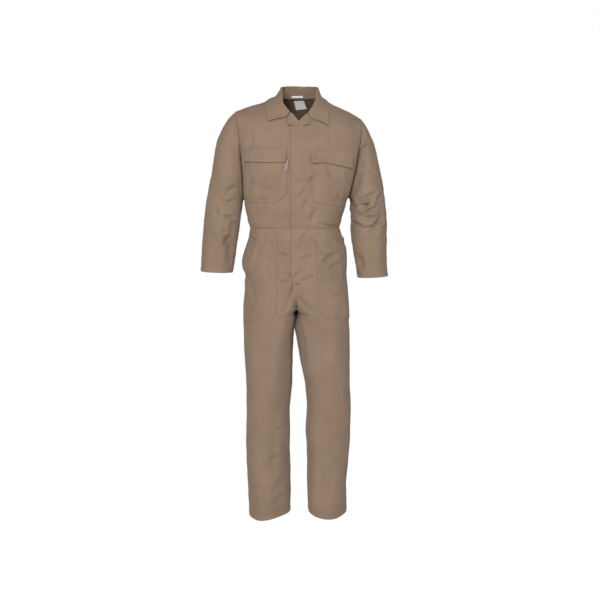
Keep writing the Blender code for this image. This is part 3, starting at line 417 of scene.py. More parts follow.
def uneven(points, seed, size, stretch=1):
    """Soft unevenness of about 1: a sum of sines in seeded directions, bent by slower ones."""
    draw = np.random.default_rng(seed)
    way = unit(draw.normal(size=(WAVES, 3))) / np.array((1, 1, stretch))
    pace = 2 * math.pi / size * draw.uniform(0.7, 1.4, (WAVES, 1))
    phase = draw.uniform(0, 2 * math.pi, WAVES)
    bend = np.sin(points @ (way[:3] * pace[:3] * 0.45).T + phase[:3]) * size * 0.25
    return np.sin((points + bend) @ (way * pace).T + phase).sum(-1) / math.sqrt(WAVES)


def layers(points, name):
    """Sum of the layers of unevenness of one kind of cloth."""
    return sum(height * uneven(points, *rest) for height, *rest in UNEVEN[name])


def relief(points, group):
    """Height of the cloth over its plain form: its folds and its unevenness, and on the
    body the blousing on both sides of the waist seam and the crotch's dimple."""
    x, y, z = points[..., X], points[..., Y], points[..., Z]
    if group != "body":
        mirrored = points * np.array([SIGN[group.split("_")[1]], 1, 1])
        return FOLD_DEPTH[group] * creases(mirrored, FOLDS[group]) + layers(points, "sleeve")
    leg = ease((SHANK_TOP - z) / SHANK_RUN)
    soft = layers(points, "trunk") * (1 - leg) + layers(points, "shank") * leg
    blouse = sum(height * bell((z - WAIST_Z - above) / width) for height, above, width in BLOUSE)
    mid_x, mid_z, width, depth = CROTCH_DIMPLE
    dimple = depth * np.exp(-((x - mid_x) ** 2 + (z - mid_z) ** 2) / width ** 2) * (y < 0)
    folds = mix(RISE_FOLDS, 1, ease((RISE_END - z) / 0.05)) * creases(points, FOLDS["body"])
    return folds + soft + blouse - dimple


# ------------------------------------------------------------------------- grids
def spaced(length, cell):
    """Places along a length: close together by both ends, then about a cell apart."""
    edge = np.array([0, 0.0008, 0.0018, 0.0030, 0.0046, 0.0068]) * min(1, length / 0.03)
    middle = max(int(round((length - 2 * edge[-1]) / cell)), 1)
    inside = np.linspace(edge[-1], length - edge[-1], middle + 1)
    return np.concatenate([edge, inside[1:-1], length - edge[::-1]])


def shares(columns, width, rows, height):
    """Shares u across and v down a sheet of about this size, close together at its edges."""
    return (spaced(width, width / columns)[None, :] / width,
            spaced(height, height / rows)[:, None] / height)


def fine_grid(surface):
    """Grid of points on a surface of two parameters. Its lines are shared out by the
    longest distance between them, so that no cell is much longer than CELL."""
    even = 0.5 - 0.5 * np.cos(np.linspace(0, math.pi, 361))
    rough = surface(even[None, :], even[:, None])
    places = []
    for axis in (1, 0):
        step = np.linalg.norm(np.diff(rough, axis=axis), axis=-1).max(axis=1 - axis)
        reach = np.concatenate([[0], np.cumsum(step)])
        places.append(np.interp(spaced(reach[-1], CELL), reach, even))
    return surface(places[0][None, :], places[1][:, None])


def grid_normals(points):
    """Unit normals of a grid: the cross product of its two central differences."""
    return unit(np.cross(np.gradient(points, axis=0), np.gradient(points, axis=1)))


def run(points, axis):
    """Distance along each line of a grid, from its first point."""
    step = np.linalg.norm(np.diff(points, axis=axis), axis=-1)
    return np.concatenate([np.zeros_like(np.take(step, [0], axis)), np.cumsum(step, axis)], axis)


def to_edges(points):
    """Distances of a grid's points from its four edges, along its lines."""
    across, down = run(points, 1), run(points, 0)
    return [across, across[:, -1:] - across, down, down[-1:] - down]


def flattened(vectors, axis, away=0):
    """Vectors along a seam, turned into the plane that both its panels share, or only
    kept off the side given by away."""
    kept = vectors.copy()
    kept[..., axis] = np.where(kept[..., axis] * away > 0, kept[..., axis], 0)
    return unit(kept)


def add_object(name, data):
    """New object in the scene."""
    thing = bpy.data.objects.new(name, data)
    bpy.context.scene.collection.objects.link(thing)
    return thing


def add_mesh(name, points, faces, finish):
    """New object with a mesh of one finish."""
    mesh = bpy.data.meshes.new(name)
    mesh.from_pydata(points.reshape(-1, 3).tolist(), [], faces.tolist())
    mesh.materials.append(finish)
    mesh.shade_smooth()
    return add_object(name, mesh)


def cloth(name, outer, inner, outward, edge, slot=CLOTH, painted_shade=0.0):
    """Closed piece of cloth between two grids: both sheets and the rim round them. It stands
    for its solid. outward says that the grid's own normals point out, edge is the distance
    from the seams, and the last argument, at 1, paints shade on the inner sheet."""
    rows, cols = outer.shape[:2]
    count = rows * cols
    index = np.arange(count).reshape(rows, cols)
    face = np.stack([index[:-1, :-1], index[1:, :-1], index[1:, 1:], index[:-1, 1:]], -1)
    face = face.reshape(-1, 4)
    ring = np.concatenate([index[0], index[1:, -1], index[-1, -2::-1], index[-2:0:-1, 0]])
    after = np.roll(ring, -1)
    rim = np.stack([ring, after, after + count, ring + count], -1)
    faces = np.concatenate([face, face[:, ::-1] + count, rim])
    if not outward:
        faces = faces[:, ::-1]
    thing = add_mesh(name + "_cloth", np.concatenate([outer, inner]), faces, FINISH[slot])
    mesh = thing.data
    uv = np.concatenate([np.stack([run(outer, 1), -run(outer, 0)], -1).reshape(-1, 2)] * 2)
    uv = uv[faces.ravel()].astype(np.float32)
    mesh.uv_layers.new(name="cloth").data.foreach_set("uv", uv.ravel())
    # The second attribute marks the inner sheet for the finish's painted shade.
    for title, values in (("from_seam", np.concatenate([edge.ravel()] * 2)),
                          ("painted_inner_shade", np.repeat([0.0, painted_shade], count))):
        layer = mesh.attributes.new(title, "FLOAT", "POINT")
        layer.data.foreach_set("value", values.astype(np.float32))
    mesh.set_sharp_from_angle(angle=math.radians(55))
    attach(thing, "root")
    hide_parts(name)


# ------------------------------------------------------------------------ panels
GROOVE, LAP = 0.0020, 0.0008      # dip of a seam, rise of the felled edge beside it
PUCKER = 0.00035                  # height of the cloth's small waves along a seam
PUCKER_LONG, PUCKER_WIDE = 0.011, 0.009   # their length, and how far they reach
HEM_WAVE = 0.013                  # length of the small waves along a hem
PATCHED = 0.0030                  # a pocket's edge, turned under once
TWIN, PATCH_TWIN = (0.0015, 0.0080), (0.0018, 0.0075)     # distances of two stitch lines
NEAR = 0.0018                     # distance of a single stitch line
LEG_HEM, CUFF_HEM = 0.020, 0.018  # widths of the turned-up hems


class Panel:
    """One cut panel on its plain form, before and after its folds: grid of points,
    normals, and distances to its four edges in the order first, last, top, bottom."""

    def __init__(self, name, surface, centre, group="body"):
        self.name, self.group = name, group
        self.plain = fine_grid(surface)
        normals = grid_normals(self.plain)
        self.way = 1 if np.sum(normals * (self.plain - centre(self.plain))) >= 0 else -1
        self.normals = normals * self.way
        self.edges = to_edges(self.plain)
        self.height = relief(self.plain, group)
        self.shift = np.zeros(self.plain.shape)
        self.thickness = np.full(self.height.shape, TWILL)

    def seam(self, edge, where=1.0, lap=0.0, along=Z):
        """Dip at a seam, the felled edge's rise beside it and the cloth's pucker."""
        d, t = self.edges[edge], self.plain[..., along]
        wave = np.sin(t * 2 * math.pi / PUCKER_LONG + 2.5 * np.sin(t * 47) + 1.7 * np.sin(t * 101))
        band = ease((d - 0.001) / 0.0015) * ease((0.0095 - d) / 0.002)
        self.height += where * (lap * band - GROOVE * bell(d / 0.0018)
                                + PUCKER * wave * np.exp(-d / PUCKER_WIDE))

    def fade(self, edge, where=1.0, reach=0.012):
        """Folds die out towards an edge, so that two pieces meet there."""
        self.height *= 1 - where * bell(self.edges[edge] / reach)

    def hem(self, width):
        """Turned-up hem: doubled cloth up to its stitching, which pulls in a little."""
        d, t = self.edges[BOTTOM], self.plain[..., X]
        turned = ease((width + 0.001 - d) / 0.002)
        wave = np.sin(t * 2 * math.pi / HEM_WAVE + 2 * np.sin(t * 60))
        self.height += 0.0008 * turned - 0.0018 * bell((d - width) / 0.0022)
        self.height += 0.0004 * wave * bell((d - width) / 0.008)
        self.thickness += 0.0011 * turned

    def tuck(self, side, edge, seam_z):
        """Deep fold beside the lower half of the armhole: both pieces sink towards the
        middle of the depth there, and the sleeve's side leans over it."""
        sink = TUCK["depth"] * ease((TUCK["start"] - seam_z) / (TUCK["start"] - TUCK["full"]))
        sink = sink * ease((seam_z - ARMHOLE[side]["pit"][1]) / 0.030)
        d = self.edges[edge]
        self.shift[..., Y] -= np.sign(self.plain[..., Y]) * sink * bell(d / TUCK["reach"])
        if self.group != "body":
            self.shift[..., X] -= SIGN[side] * 0.45 * sink * bell((d - 0.012) / 0.006)

    def dress(self, *flat_edges):
        """Moves the points out by their height and finds the inner sheet. Each of flat_edges
        is a part of the grid, the axis that its normals lose, and the side they keep."""
        way = self.normals.copy()
        for part, axis, *_ in flat_edges:
            way[part] = flattened(way[part], axis)
        self.outer = self.plain + way * self.height[..., None] + self.shift
        self.facing = grid_normals(self.outer) * self.way
        for part, axis, *away in flat_edges:
            self.facing[part] = flattened(self.facing[part], axis, *away)
        self.inner = self.outer - self.facing * self.thickness[..., None]

    def sewn(self):
        """The finished piece, as a sheet of cloth that stands for its solid."""
        # The inner sheet is given painted shade, in place of the shadow inside the suit.
        cloth(self.name, self.outer, self.inner, self.way > 0, np.minimum.reduce(self.edges),
              painted_shade=1.0)

    def sew(self, *rows):
        """Stitch lines beside the panel's edges."""
        sew(self.group, self.outer, self.facing, self.edges, *rows)


# ------------------------------------------------------------------------ sewing
STITCH = {"pitch": 0.0032, "length": 0.0026, "width": 0.0007, "height": 0.0005}
SEWN = {}                         # stitch lines of each group: centres, directions, normals


def sew(group, outer, facing, edges, *rows):
    """Stitch lines on a dressed piece. Each row is an edge and distances from it, and a
    line lies where the grid's lines reach that distance, by interpolation."""
    for edge, at in ((edge, at) for edge, *places in rows for at in places):
        d, p, n = (np.moveaxis(a, 1 if edge < 2 else 0, 0) for a in (edges[edge], outer, facing))
        if edge in (LAST, BOTTOM):
            d, p, n = d[::-1], p[::-1], n[::-1]
        k = np.clip((d < at).sum(axis=0) - 1, 0, len(d) - 2)
        line = np.arange(d.shape[1])
        share = (at - d[k, line]) / np.maximum(d[k + 1, line] - d[k, line], 1e-9)
        points, normals = (mix(a[k, line], a[k + 1, line], share[:, None]) for a in (p, n))
        length = run(points, 0)
        centres = (np.arange(int(length[-1] / STITCH["pitch"])) + 0.5) * STITCH["pitch"]

        def at_length(values, t):
            return np.stack([np.interp(t, length, values[:, i]) for i in range(3)], -1)

        way = unit(at_length(points, centres + 0.0008) - at_length(points, centres - 0.0008))
        found = at_length(points, centres), way, unit(at_length(normals, centres))
        SEWN.setdefault(group, []).append(found)


def stitching(group):
    """All the stitches of a group in one mesh: each is a flat octahedron, long in the
    line's direction, half sunk in the cloth."""
    centre, way, normal = (np.concatenate(part) for part in zip(*SEWN[group]))
    long, wide, high = (v * STITCH[size] / 2 for v, size in (
        (way, "length"), (np.cross(normal, way), "width"), (normal, "height")))
    corners = np.stack([centre + long, centre + wide, centre - long, centre - wide,
                        centre + high, centre - high], axis=1)
    face = np.array([(0, 1, 4), (1, 2, 4), (2, 3, 4), (3, 0, 4),
                     (1, 0, 5), (2, 1, 5), (3, 2, 5), (0, 3, 5)])
    faces = (face[None] + 6 * np.arange(len(centre))[:, None, None]).reshape(-1, 3)
    thing = add_mesh(group + "_stitching", corners, faces, FINISH["thread"])
    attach(thing, "root")


# ------------------------------------------------------------------ upper panels
def trunk_axis(points):
    """Points on the body's middle line, at each point's own height."""
    return points * np.array([0, 0, 1.0])


def bodice_surface(side, face):
    """Half of the chest or back: u runs from the middle to the armhole and side seam,
    v from the neck and shoulder down to the waist."""
    tip_x = ARMHOLE[side]["tip"][0]

    def surface(u, v):
        top = top_z(side, face, u * tip_x)
        z = mix(top, WAIST_Z, v)
        x = u * edge_x(side, z) * (1 + (tip_x / edge_x(side, top) - 1) * (1 - v) ** 4)
        return place(side, face, x, bodice_y(side, face, x, z), z)
    return surface


def bodice_seams(panel, side, column):
    """Parts of a bodice panel's edges that lie in the shoulder's and the side seam's plane,
    and how much each row's outer edge belongs to the armhole."""
    z = panel.plain[:, column, Z]
    pit = ARMHOLE[side]["pit"][1]
    shoulder = panel.plain[0, :, X] * SIGN[side] >= NECK_X[side] - 0.0005
    flat = ((0, np.flatnonzero(shoulder)), Y), ((np.flatnonzero(z < pit), column), Y)
    return flat, ease((z - pit + 0.02) / 0.02)[:, None]


def bodice_front(side):
    """Half front of the upper part, with the armhole's and the side seam's stitching."""
    panel = Panel("front_" + side, bodice_surface(side, "front"), trunk_axis)
    flat, hole = bodice_seams(panel, side, -1)
    panel.fade(LAST, hole)
    panel.fade(TOP, reach=0.006)
    panel.tuck(side, LAST, panel.plain[..., Z])
    panel.seam(LAST, lap=LAP)
    panel.seam(BOTTOM, along=X)
    panel.seam(TOP, 0.6, LAP, X)
    panel.dress(*flat, ((ALL, 0), X), ((-1, ALL), Z))
    panel.sew((LAST, *TWIN), (TOP, *TWIN), (BOTTOM, NEAR))
    panel.sewn()


def bodice_back():
    """The whole back in one piece, from the right side seam to the left one."""
    halves = {side: bodice_surface(side, "back") for side in SIGN}

    def surface(u, v):
        w = 2 * u - 1
        half = [halves[side](np.clip(w * SIGN[side], 0, 1), v) for side in SIGN]
        return np.where((w < 0)[..., None], *half)

    panel = Panel("back", surface, trunk_axis)
    flat = [((-1, ALL), Z)]
    for side, column, edge in (("right", 0, FIRST), ("left", -1, LAST)):
        seams, hole = bodice_seams(panel, side, column)
        panel.fade(edge, hole)
        panel.tuck(side, edge, panel.plain[..., Z])
        panel.seam(edge)
        flat += seams
    panel.fade(TOP, reach=0.006)
    panel.seam(TOP, 0.6, along=X)
    panel.seam(BOTTOM, along=X)
    panel.dress(*flat)
    panel.sew((TOP, NEAR), (BOTTOM, NEAR))
    panel.sewn()


# ---------------------------------------------------------------- legs, sleeves
# Hems: height of their corners over the hem line, tilt outward, how far the middle of
# the front dips below the corners and where the dip lies.
HEM = {"right": (0.0000, -0.0051, 0.0095, 2.2), "left": (0.0092, -0.0042, 0.0148, 1.0)}
CUFF_LIFT = {"right": 0.0, "left": 0.0055}
LEGS_PART = -0.862                # the inside leg seams touch down to about this height


def leg_surface(side, face):
    """Front or back of half the trousers: u runs from the inside seam to the side seam,
    v from the waist down to the hem, which dips in the middle of the front."""
    def surface(u, v):
        z = mix(WAIST_Z, HEM_Z, v) + 0 * u
        x = mix(inseam(side, z), body(z, side), u)
        points = place(side, face, x, leg_y(side, face, x, z), z)
        level, tilt, dip, late = HEM[side]
        drop = dip * np.sin(math.pi * u ** late) * (1.0 if face == "front" else 0.3)
        points[..., Z] += (level + tilt * (2 * u - 1) - drop) * ease((DIP_TOP - z) / DIP_RUN)
        return points
    return surface


def trouser(side, face):
    """Panel of one leg with the hip above it."""
    def axis(points):
        return points * np.array([0, 0, 1.0]) + np.array([SIGN[side] * 0.10, 0, 0])

    panel = Panel("trouser_" + face + "_" + side, leg_surface(side, face), axis)
    z = panel.plain[:, 0, Z]
    touching = ease((z - LEGS_PART) / 0.02)[:, None]
    panel.fade(FIRST, touching * (z < CROTCH_Z)[:, None])
    panel.seam(FIRST, 1.0 - touching, LAP if side == "left" or face == "back" else 0.0)
    panel.seam(LAST, lap=LAP if face == "back" else 0.0)
    panel.seam(TOP, lap=LAP, along=X)
    panel.hem(LEG_HEM)
    panel.dress(((np.flatnonzero(z >= CROTCH_Z), 0), X, -SIGN[side]),
                ((np.flatnonzero(z <= CROTCH_Z), 0), Y), ((ALL, -1), Y), ((0, ALL), Z))
    panel.sew((TOP, *TWIN), (BOTTOM, LEG_HEM - 0.001))
    if face == "back":
        panel.sew((FIRST, *TWIN), (LAST, *TWIN))
    panel.sewn()


def sleeve_surface(side):
    """Sleeve from the armhole to the cuff: ellipses between the outer and inner ends of
    each section; u runs once round from the underarm seam, over the front first."""
    hole, rows = ARMHOLE[side], SLEEVE[side]
    ends = {"out_x": hole["tip"][0], "out_z": hole["tip"][1], "in_x": hole["pit"][0],
            "in_z": hole["pit"][1], "half": ARMHOLE_HALF, "swing": 0.0, "bow": hole["bow"]}
    count = np.arange(len(rows["half"]) + 1.0)
    values = {k: np.concatenate([[ends[k]], rows[k]]) for k in rows}

    def surface(u, v):
        at = {k: smooth(v * count[-1], count, values[k]) for k in values}
        angle = (2 * u - 1) * (math.pi - 0.001)
        c, s = np.cos(angle), np.sin(angle)
        x, z = ((at["out_" + k] + at["in_" + k]) / 2 + (at["out_" + k] - at["in_" + k]) / 2 * c
                for k in "xz")
        x = x + at["bow"] * s * s
        z = z + CUFF_LIFT[side] * ease((v - 0.8) / 0.2)
        return np.stack([SIGN[side] * x, at["half"] * s - at["swing"], z], axis=-1)
    return surface


def sleeve(side):
    """Sleeve with its underarm seam, head and hemmed cuff."""
    def axis(points):
        return np.broadcast_to(points.mean(axis=1, keepdims=True), points.shape)

    panel = Panel("sleeve_" + side, sleeve_surface(side), axis, "sleeve_" + side)
    panel.fade(TOP)
    panel.tuck(side, TOP, panel.plain[:1, :, Z])
    panel.seam(FIRST)
    panel.seam(LAST, lap=LAP)
    panel.seam(TOP, 0.8, along=Y)
    panel.hem(CUFF_HEM)
    panel.dress(((ALL, 0), Y), ((ALL, -1), Y))
    panel.sew((LAST, *TWIN), (BOTTOM, CUFF_HEM - 0.001))
    panel.sewn()


# ------------------------------------------------------- cloth laid on the fronts
def front_plain(x, z):
    """Plain form of the whole front, at signed distances from the middle."""
    depth = []
    for side in SIGN:
        reach = np.clip(x * SIGN[side], 0, None)
        chest = bodice_y(side, "front", np.minimum(reach, edge_x(side, z)), z)
        depth.append(np.where(z >= WAIST_Z, chest, leg_y(side, "front", reach, z)))
    return np.stack([x, -np.where(x < 0, *depth), z], -1)


def front_at(x, z):
    """Points and normals of the dressed front, with its folds but without its seams."""
    step = 0.0006
    across = front_plain(x + step, z) - front_plain(x - step, z)
    down = front_plain(x, z - step) - front_plain(x, z + step)
    normal = unit(np.cross(down, across))
    normal *= np.where(normal[..., 1:2] > 0, -1, 1)
    plain = front_plain(x, z)
    return plain + normal * relief(plain, "body")[..., None], normal


def patch(name, x, z, lift, thickness, rows, closed=(FIRST, LAST, TOP, BOTTOM)):
    """Cloth laid on the front over a grid of places: its under side stands lift over the
    panel, its face rounds down at the closed edges, and stitch lines run where rows say."""
    base, normal = front_at(x, z)
    edges = to_edges(base)
    edge = np.minimum.reduce([edges[k] for k in closed])
    thick = thickness * (0.25 + 0.75 * arc(edge / 0.0011))
    outer = base + normal * (lift + thick)[..., None]
    outward = np.sum(grid_normals(outer) * normal) >= 0
    cloth(name, outer, base + normal * lift[..., None], outward, edge)
    sew("pockets", outer, normal, edges, *rows)


def belly(x, z, within, soft, high, seed, size):
    """Lift of a patch pocket: almost none along its sewn edges, growing over soft to an
    uneven swelling of about high. within is the distance from those edges."""
    swelling = ease((within - 0.004) / soft)
    lift = 0.0002 + swelling * (high + 0.0016 * uneven(front_plain(x, z), seed, size))
    return np.maximum(lift, 0.0002)


PATCH_ROWS = [(edge, *PATCH_TWIN) for edge in (FIRST, LAST, BOTTOM)]
ARM_GAP = 0.007                   # least distance of a chest pocket from the armhole
# Chest pockets: inner and outer edge, top, bottom at both ends, size of the cut corner.
CHEST_POCKET = {
    "right": {"inner": 0.0351, "outer": 0.1786, "top": -0.178, "bottom": (-0.3672, -0.3672),
              "cut": (0.0358, 0.0337)},
    "left": {"inner": 0.0541, "outer": 0.1890, "top": -0.184, "bottom": (-0.3672, -0.3810),
             "cut": (0.0180, 0.0250)},
}


def chest_pocket(side):
    """Patch pocket with its lower inner corner cut off; its cloth bellies out a little."""
    rows = CHEST_POCKET[side]
    inner = rows["inner"]
    u, v = shares(44, 0.14, 56, 0.19)
    reach = mix(inner, rows["outer"], u)
    cut = np.clip(1 - (reach - inner) / rows["cut"][0], 0, 1) * rows["cut"][1]
    z = mix(rows["top"], mix(*rows["bottom"], u) + cut, v)
    x = SIGN[side] * mix(inner, np.minimum(rows["outer"], edge_x(side, z) - ARM_GAP), u)
    within = np.minimum(np.minimum(u, 1 - u) * 0.14, (1 - v) * 0.19)
    lift = belly(x, z, within, 0.025, 0.0024, 21 + SIGN[side], 0.055)
    patch("chest_pocket_" + side, x, z, lift, PATCHED, PATCH_ROWS)


# Flaps: places of the ends of the top edge and of the loose lower edge, and where the
# lower edge's wave starts.
FLAP = {
    "right": {"top": ((0.0349, -0.1745), (0.1773, -0.1745)), "ends": (0.0410, 0.1826), "wave": 2.0,
              "low": table("at z", (0, -225.4), (0.35, -225.6), (0.75, -223.2), (1, -220.2))},
    "left": {"top": ((0.0503, -0.1806), (0.2005, -0.1917)), "ends": (0.0539, 0.1950), "wave": 0.6,
             "low": table("at z", (0, -228.6), (0.30, -226.5), (0.52, -231.6), (1, -244.9))},
}


def chest_flap(side):
    """Flap sewn down along its top; its wavy lower edge stands off the pocket, and a stud
    under its middle shows as a small disc in a dimple."""
    rows = FLAP[side]
    u, v = shares(46, 0.14, 18, 0.05)
    (x1, z1), (x2, z2) = rows["top"]
    z = mix(mix(z1, z2, u), smooth(u, rows["low"]["at"], rows["low"]["z"]), v)
    x = SIGN[side] * mix(mix(x1, rows["ends"][0], v), mix(x2, rows["ends"][1], v), u)
    wave = 1 + 0.35 * np.sin(u * 11 + rows["wave"]) + 0.15 * np.sin(u * 29)
    lift = 0.0014 + 0.0034 * v + 0.0062 * ease((v - 0.30) / 0.70) * wave
    stud = np.hypot((u - 0.5) * 0.14, (v - 0.62) * 0.05)
    lift = lift - 0.0022 * bell(stud / 0.010) + 0.0016 * ease((0.0065 - stud) / 0.0015)
    patch("chest_flap_" + side, x, z, lift, 0.0018,
          ((FIRST, NEAR), (LAST, NEAR), (BOTTOM, NEAR), (TOP, NEAR, 0.0080)))


# Hip pockets: inner edge above and below, bottom edge at both ends, size of the cut
# corner, the mouth's start, width there and end, how far it gapes, and the power of its
# line: under 1 it bows outward.
HIP_POCKET = {
    "right": {"inner": (0.0735, 0.0735), "bottom": (-0.7965, -0.8103), "corner": (0.0170, 0.0420),
              "mouth": (-0.4961, 0.1411, -0.6400), "gape": 0.007, "curve": 0.5},
    "left": {"inner": (0.0689, 0.0802), "bottom": (-0.7880, -0.7990), "corner": (0.0280, 0.0350),
             "mouth": (-0.4900, 0.1420, -0.6400), "gape": 0.0, "curve": 0.8},
}


def hip_pocket(side):
    """Patch pocket from the waist to the side seam, with a slanted mouth and a cut-off
    lower inner corner. Its columns lie closer towards the mouth."""
    rows = HIP_POCKET[side]
    u, v = shares(36, 0.11, 84, 0.32)
    low_z = mix(*rows["bottom"], u)
    z = WAIST_Z - 0.0008 + (low_z - WAIST_Z) * v
    corner = np.clip(1 - (z - low_z) / rows["corner"][1], 0, 1)
    inner = mix(*rows["inner"], v) + rows["corner"][0] * corner ** 1.4
    start, narrow, end = rows["mouth"]
    opening = np.clip((z - end) / (start - end), 0, 1) ** rows["curve"]
    reach = mix(body(z, side) * 0.9980, narrow, opening)
    x = SIGN[side] * mix(inner, reach, 1 - (1 - u) ** 1.6)
    within = np.minimum(np.minimum(u, 1 - u) * 0.11, np.minimum(v, 1 - v) * 0.33)
    gape = rows["gape"] * ease((u - 0.75) / 0.25) * bell((z - (start + end) / 2) / 0.04)
    lift = belly(x, z, within, 0.03, 0.0018, 31 + SIGN[side], 0.06) + gape
    patch("hip_pocket_" + side, x, z, lift, 0.8 * PATCHED, PATCH_ROWS)


# Strip over the closing: its plain free edge, sewn edge, top and end, and the line that
# its free edge really takes.
FLY = {"right": -0.0210, "left": 0.0318, "top": -0.080, "end": -0.705,
       "free": table("z x", (-80, -21.6), (-252, -20.8), (-448, -19.4), (-484, -18.2),
                     (-592, -21.5), (-645, -14.5), (-670, -14.5), (-705, -27.5))}


def fly_strip():
    """Covered front closing: its free edge on the right stands off the front a little,
    more between the chest and the waist; its other edge is sewn down."""
    u, v = shares(16, 0.058, 150, 0.62)
    x = mix(FLY["right"], FLY["left"], u)
    neck = np.where(x < 0, *(top_z(side, "front", np.abs(x)) for side in SIGN)) - 0.004
    z = mix(np.minimum(neck, FLY["top"]), FLY["end"], v)
    free = smooth(z, FLY["free"]["z"], FLY["free"]["x"]) + 0.0004 * np.sin(z * 63 + 1)
    loose = (0.0016 + 0.0045 * bell((z + 0.645) / 0.045) + 0.0005 * np.sin(z * 70)
             + 0.0018 * bell((z + 0.53) / 0.05))
    lift = 0.0003 + loose * (1 - u) ** 2 * ease(u / 0.02 + 0.5)
    thick = 0.0016 - 0.0013 * ease((u - 0.70) / 0.30)
    patch("fly_strip", mix(free, FLY["left"], u), z, lift, thick,
          ((FIRST, 0.0060), (LAST, NEAR, 0.0080)))


# Revers: lower inner corner, lower outer, upper outer, top, and the kink of the inner
# edge, which lies at this share of its height.
KINK = 0.4
REVERS_CLEAR = 0.0040    # outer face of the revers over the panel
REVERS = {
    "right": table("x z", (-7, -94), (32.4, -94), (33, -69), (19.8, -46.5), (-7, -78.4)),
    "left": table("x z", (7, -94), (44.2, -94), (45, -69), (37, -50), (7, -78.4)),
}


def revers(side):
    """Turned-back top corner of a front, lying on the front beside the neck edge."""
    u, v = shares(14, 0.035, 14, 0.03)
    at = []
    for c in (REVERS[side]["x"], REVERS[side]["z"]):
        first = np.interp(v, (0, KINK, 1), (c[0], c[4], c[3]))
        at.append(mix(first, mix(c[1], c[2], v), u))
    rise = 0.0075 * u ** 2 * (1 - v) ** 2 + 0.0012 * np.sin(u * 3) * (1 - v)
    patch("revers_" + side, SIGN[side] * at[0], at[1], REVERS_CLEAR - TWILL + rise, TWILL,
          ((TOP, NEAR),), (LAST, TOP, BOTTOM))


# ------------------------------------------------------------------------ collar
# Guide lines of the collar on each side, from the front end (0) past the shoulder
# (0.5) to the centre back (1): the fold along its top and the outer edge of its leaf.
COLLAR = {
    "right": table(
        "at  fold_x  fold_y  fold_z  leaf_x  leaf_y  leaf_z",
        (0.00, 25.8, -89, -45.5, 102.7, -100, -75.8),
        (0.25, 49, -67, -8, 109, -62, -34),
        (0.50, 56.5, -5, 49, 106.5, 2, -4),
        (0.75, 45, 45, 56, 82, 70, 3),
        (1.00, 0, 66, 58, 0, 98, 6),
    ),
    "left": table(
        "at  fold_x  fold_y  fold_z  leaf_x  leaf_y  leaf_z",
        (0.00, 38.7, -88, -50, 111.8, -103, -89.6),
        (0.25, 60, -64, -16, 113, -62, -41),
        (0.50, 76, -5, 48.5, 102, 2, -6.5),
        (0.75, 56, 45, 55.5, 84, 70, 2),
        (1.00, 0, 66, 58, 0, 98, 6),
    ),
}
COLLAR_START = {"right": 0.0255, "left": 0.0435}      # where on the neck edge the collar starts
FOLD_RADIUS = 0.0035
LEAF_SHARES = (0.0, 0.14, 0.42, 0.72, 1.0)
LEAF_HOLLOW = 0.009      # how far the leaf hangs through over the shoulder
NOTCH_DROP = 0.013       # how far the front end dips to the notch with the revers
NECK_SINK = 0.0045       # how far the edge dips inside the back, behind the shoulder
SEAM_CLEAR = 0.0010      # first face of the collar over the panel, along the neck seam
STAND_CLEAR = 0.0016     # first face of the stand over the front, where the collar lies down
LEAF_CLEAR = 0.0056      # outer face of the leaf over the panel
LEAF_SETTLES = 0.0016    # how much closer the leaf's edge lies past its front end
LABEL_CLEAR = 0.0004     # neck label over the stand's curved face


def neck_seam(side, at):
    """Points of the neck seam: 0 at the collar's front end, 0.5 at the shoulder seam and
    1 at the centre back, shared out by length."""
    found = []
    for face, ends, start in (("front", (COLLAR_START[side], NECK_X[side]), 0.0),
                              ("back", (NECK_X[side], 0.0), 0.5)):
        x = np.linspace(*ends, 200)
        z = top_z(side, face, x)
        line = place(side, face, x, bodice_y(side, face, x, z), z)
        length = run(line, 0)
        share = (at - start) * 2
        found.append(np.stack([np.interp(share, length / length[-1], k) for k in line.T], -1))
    return np.where((at < 0.5)[:, None], *found)


def neck_skin():
    """Close samples of the bodice's outer face near the neck, with normals."""
    points, normals = [], []
    for side in SIGN:
        for face in FACE:
            x = np.linspace(0, ARMHOLE[side]["tip"][0], 90)[None, :]
            top = crest_z(side, x) - 0.004 if face == "front" else top_z(side, face, x)
            z = mix(top, -0.15, np.linspace(0, 1, 90)[:, None] ** 1.5)
            grid = place(side, face, np.broadcast_to(x, z.shape), bodice_y(side, face, x, z), z)
            normal = grid_normals(grid)
            if np.sum(normal * (grid - np.array([0, 0, -0.25]))) < 0:
                normal = -normal
            points.append(grid.reshape(-1, 3))
            normals.append(normal.reshape(-1, 3))
    return np.concatenate(points), np.concatenate(normals)


def settle(points, skin, clear, hold=0.0):
    """Points moved along the bodice's normals until they stand clear of its face, and
    down onto that height too where hold is 1."""
    flat = points.reshape(-1, 3).copy()
    for _ in range(3):
        nearest = np.argmin(((flat[:, None] - skin[0][None]) ** 2).sum(-1), axis=1)
        normal = skin[1][nearest]
        short = clear - np.sum((flat - skin[0][nearest]) * normal, axis=1)
        flat += normal * (np.clip(short, 0, None) + hold * np.clip(short, None, 0))[:, None]
    return flat.reshape(points.shape)


def over_shoulder(at):
    """One where the collar crosses the shoulder seam, fading out in front and behind."""
    return bell((at - 0.5) / 0.12)


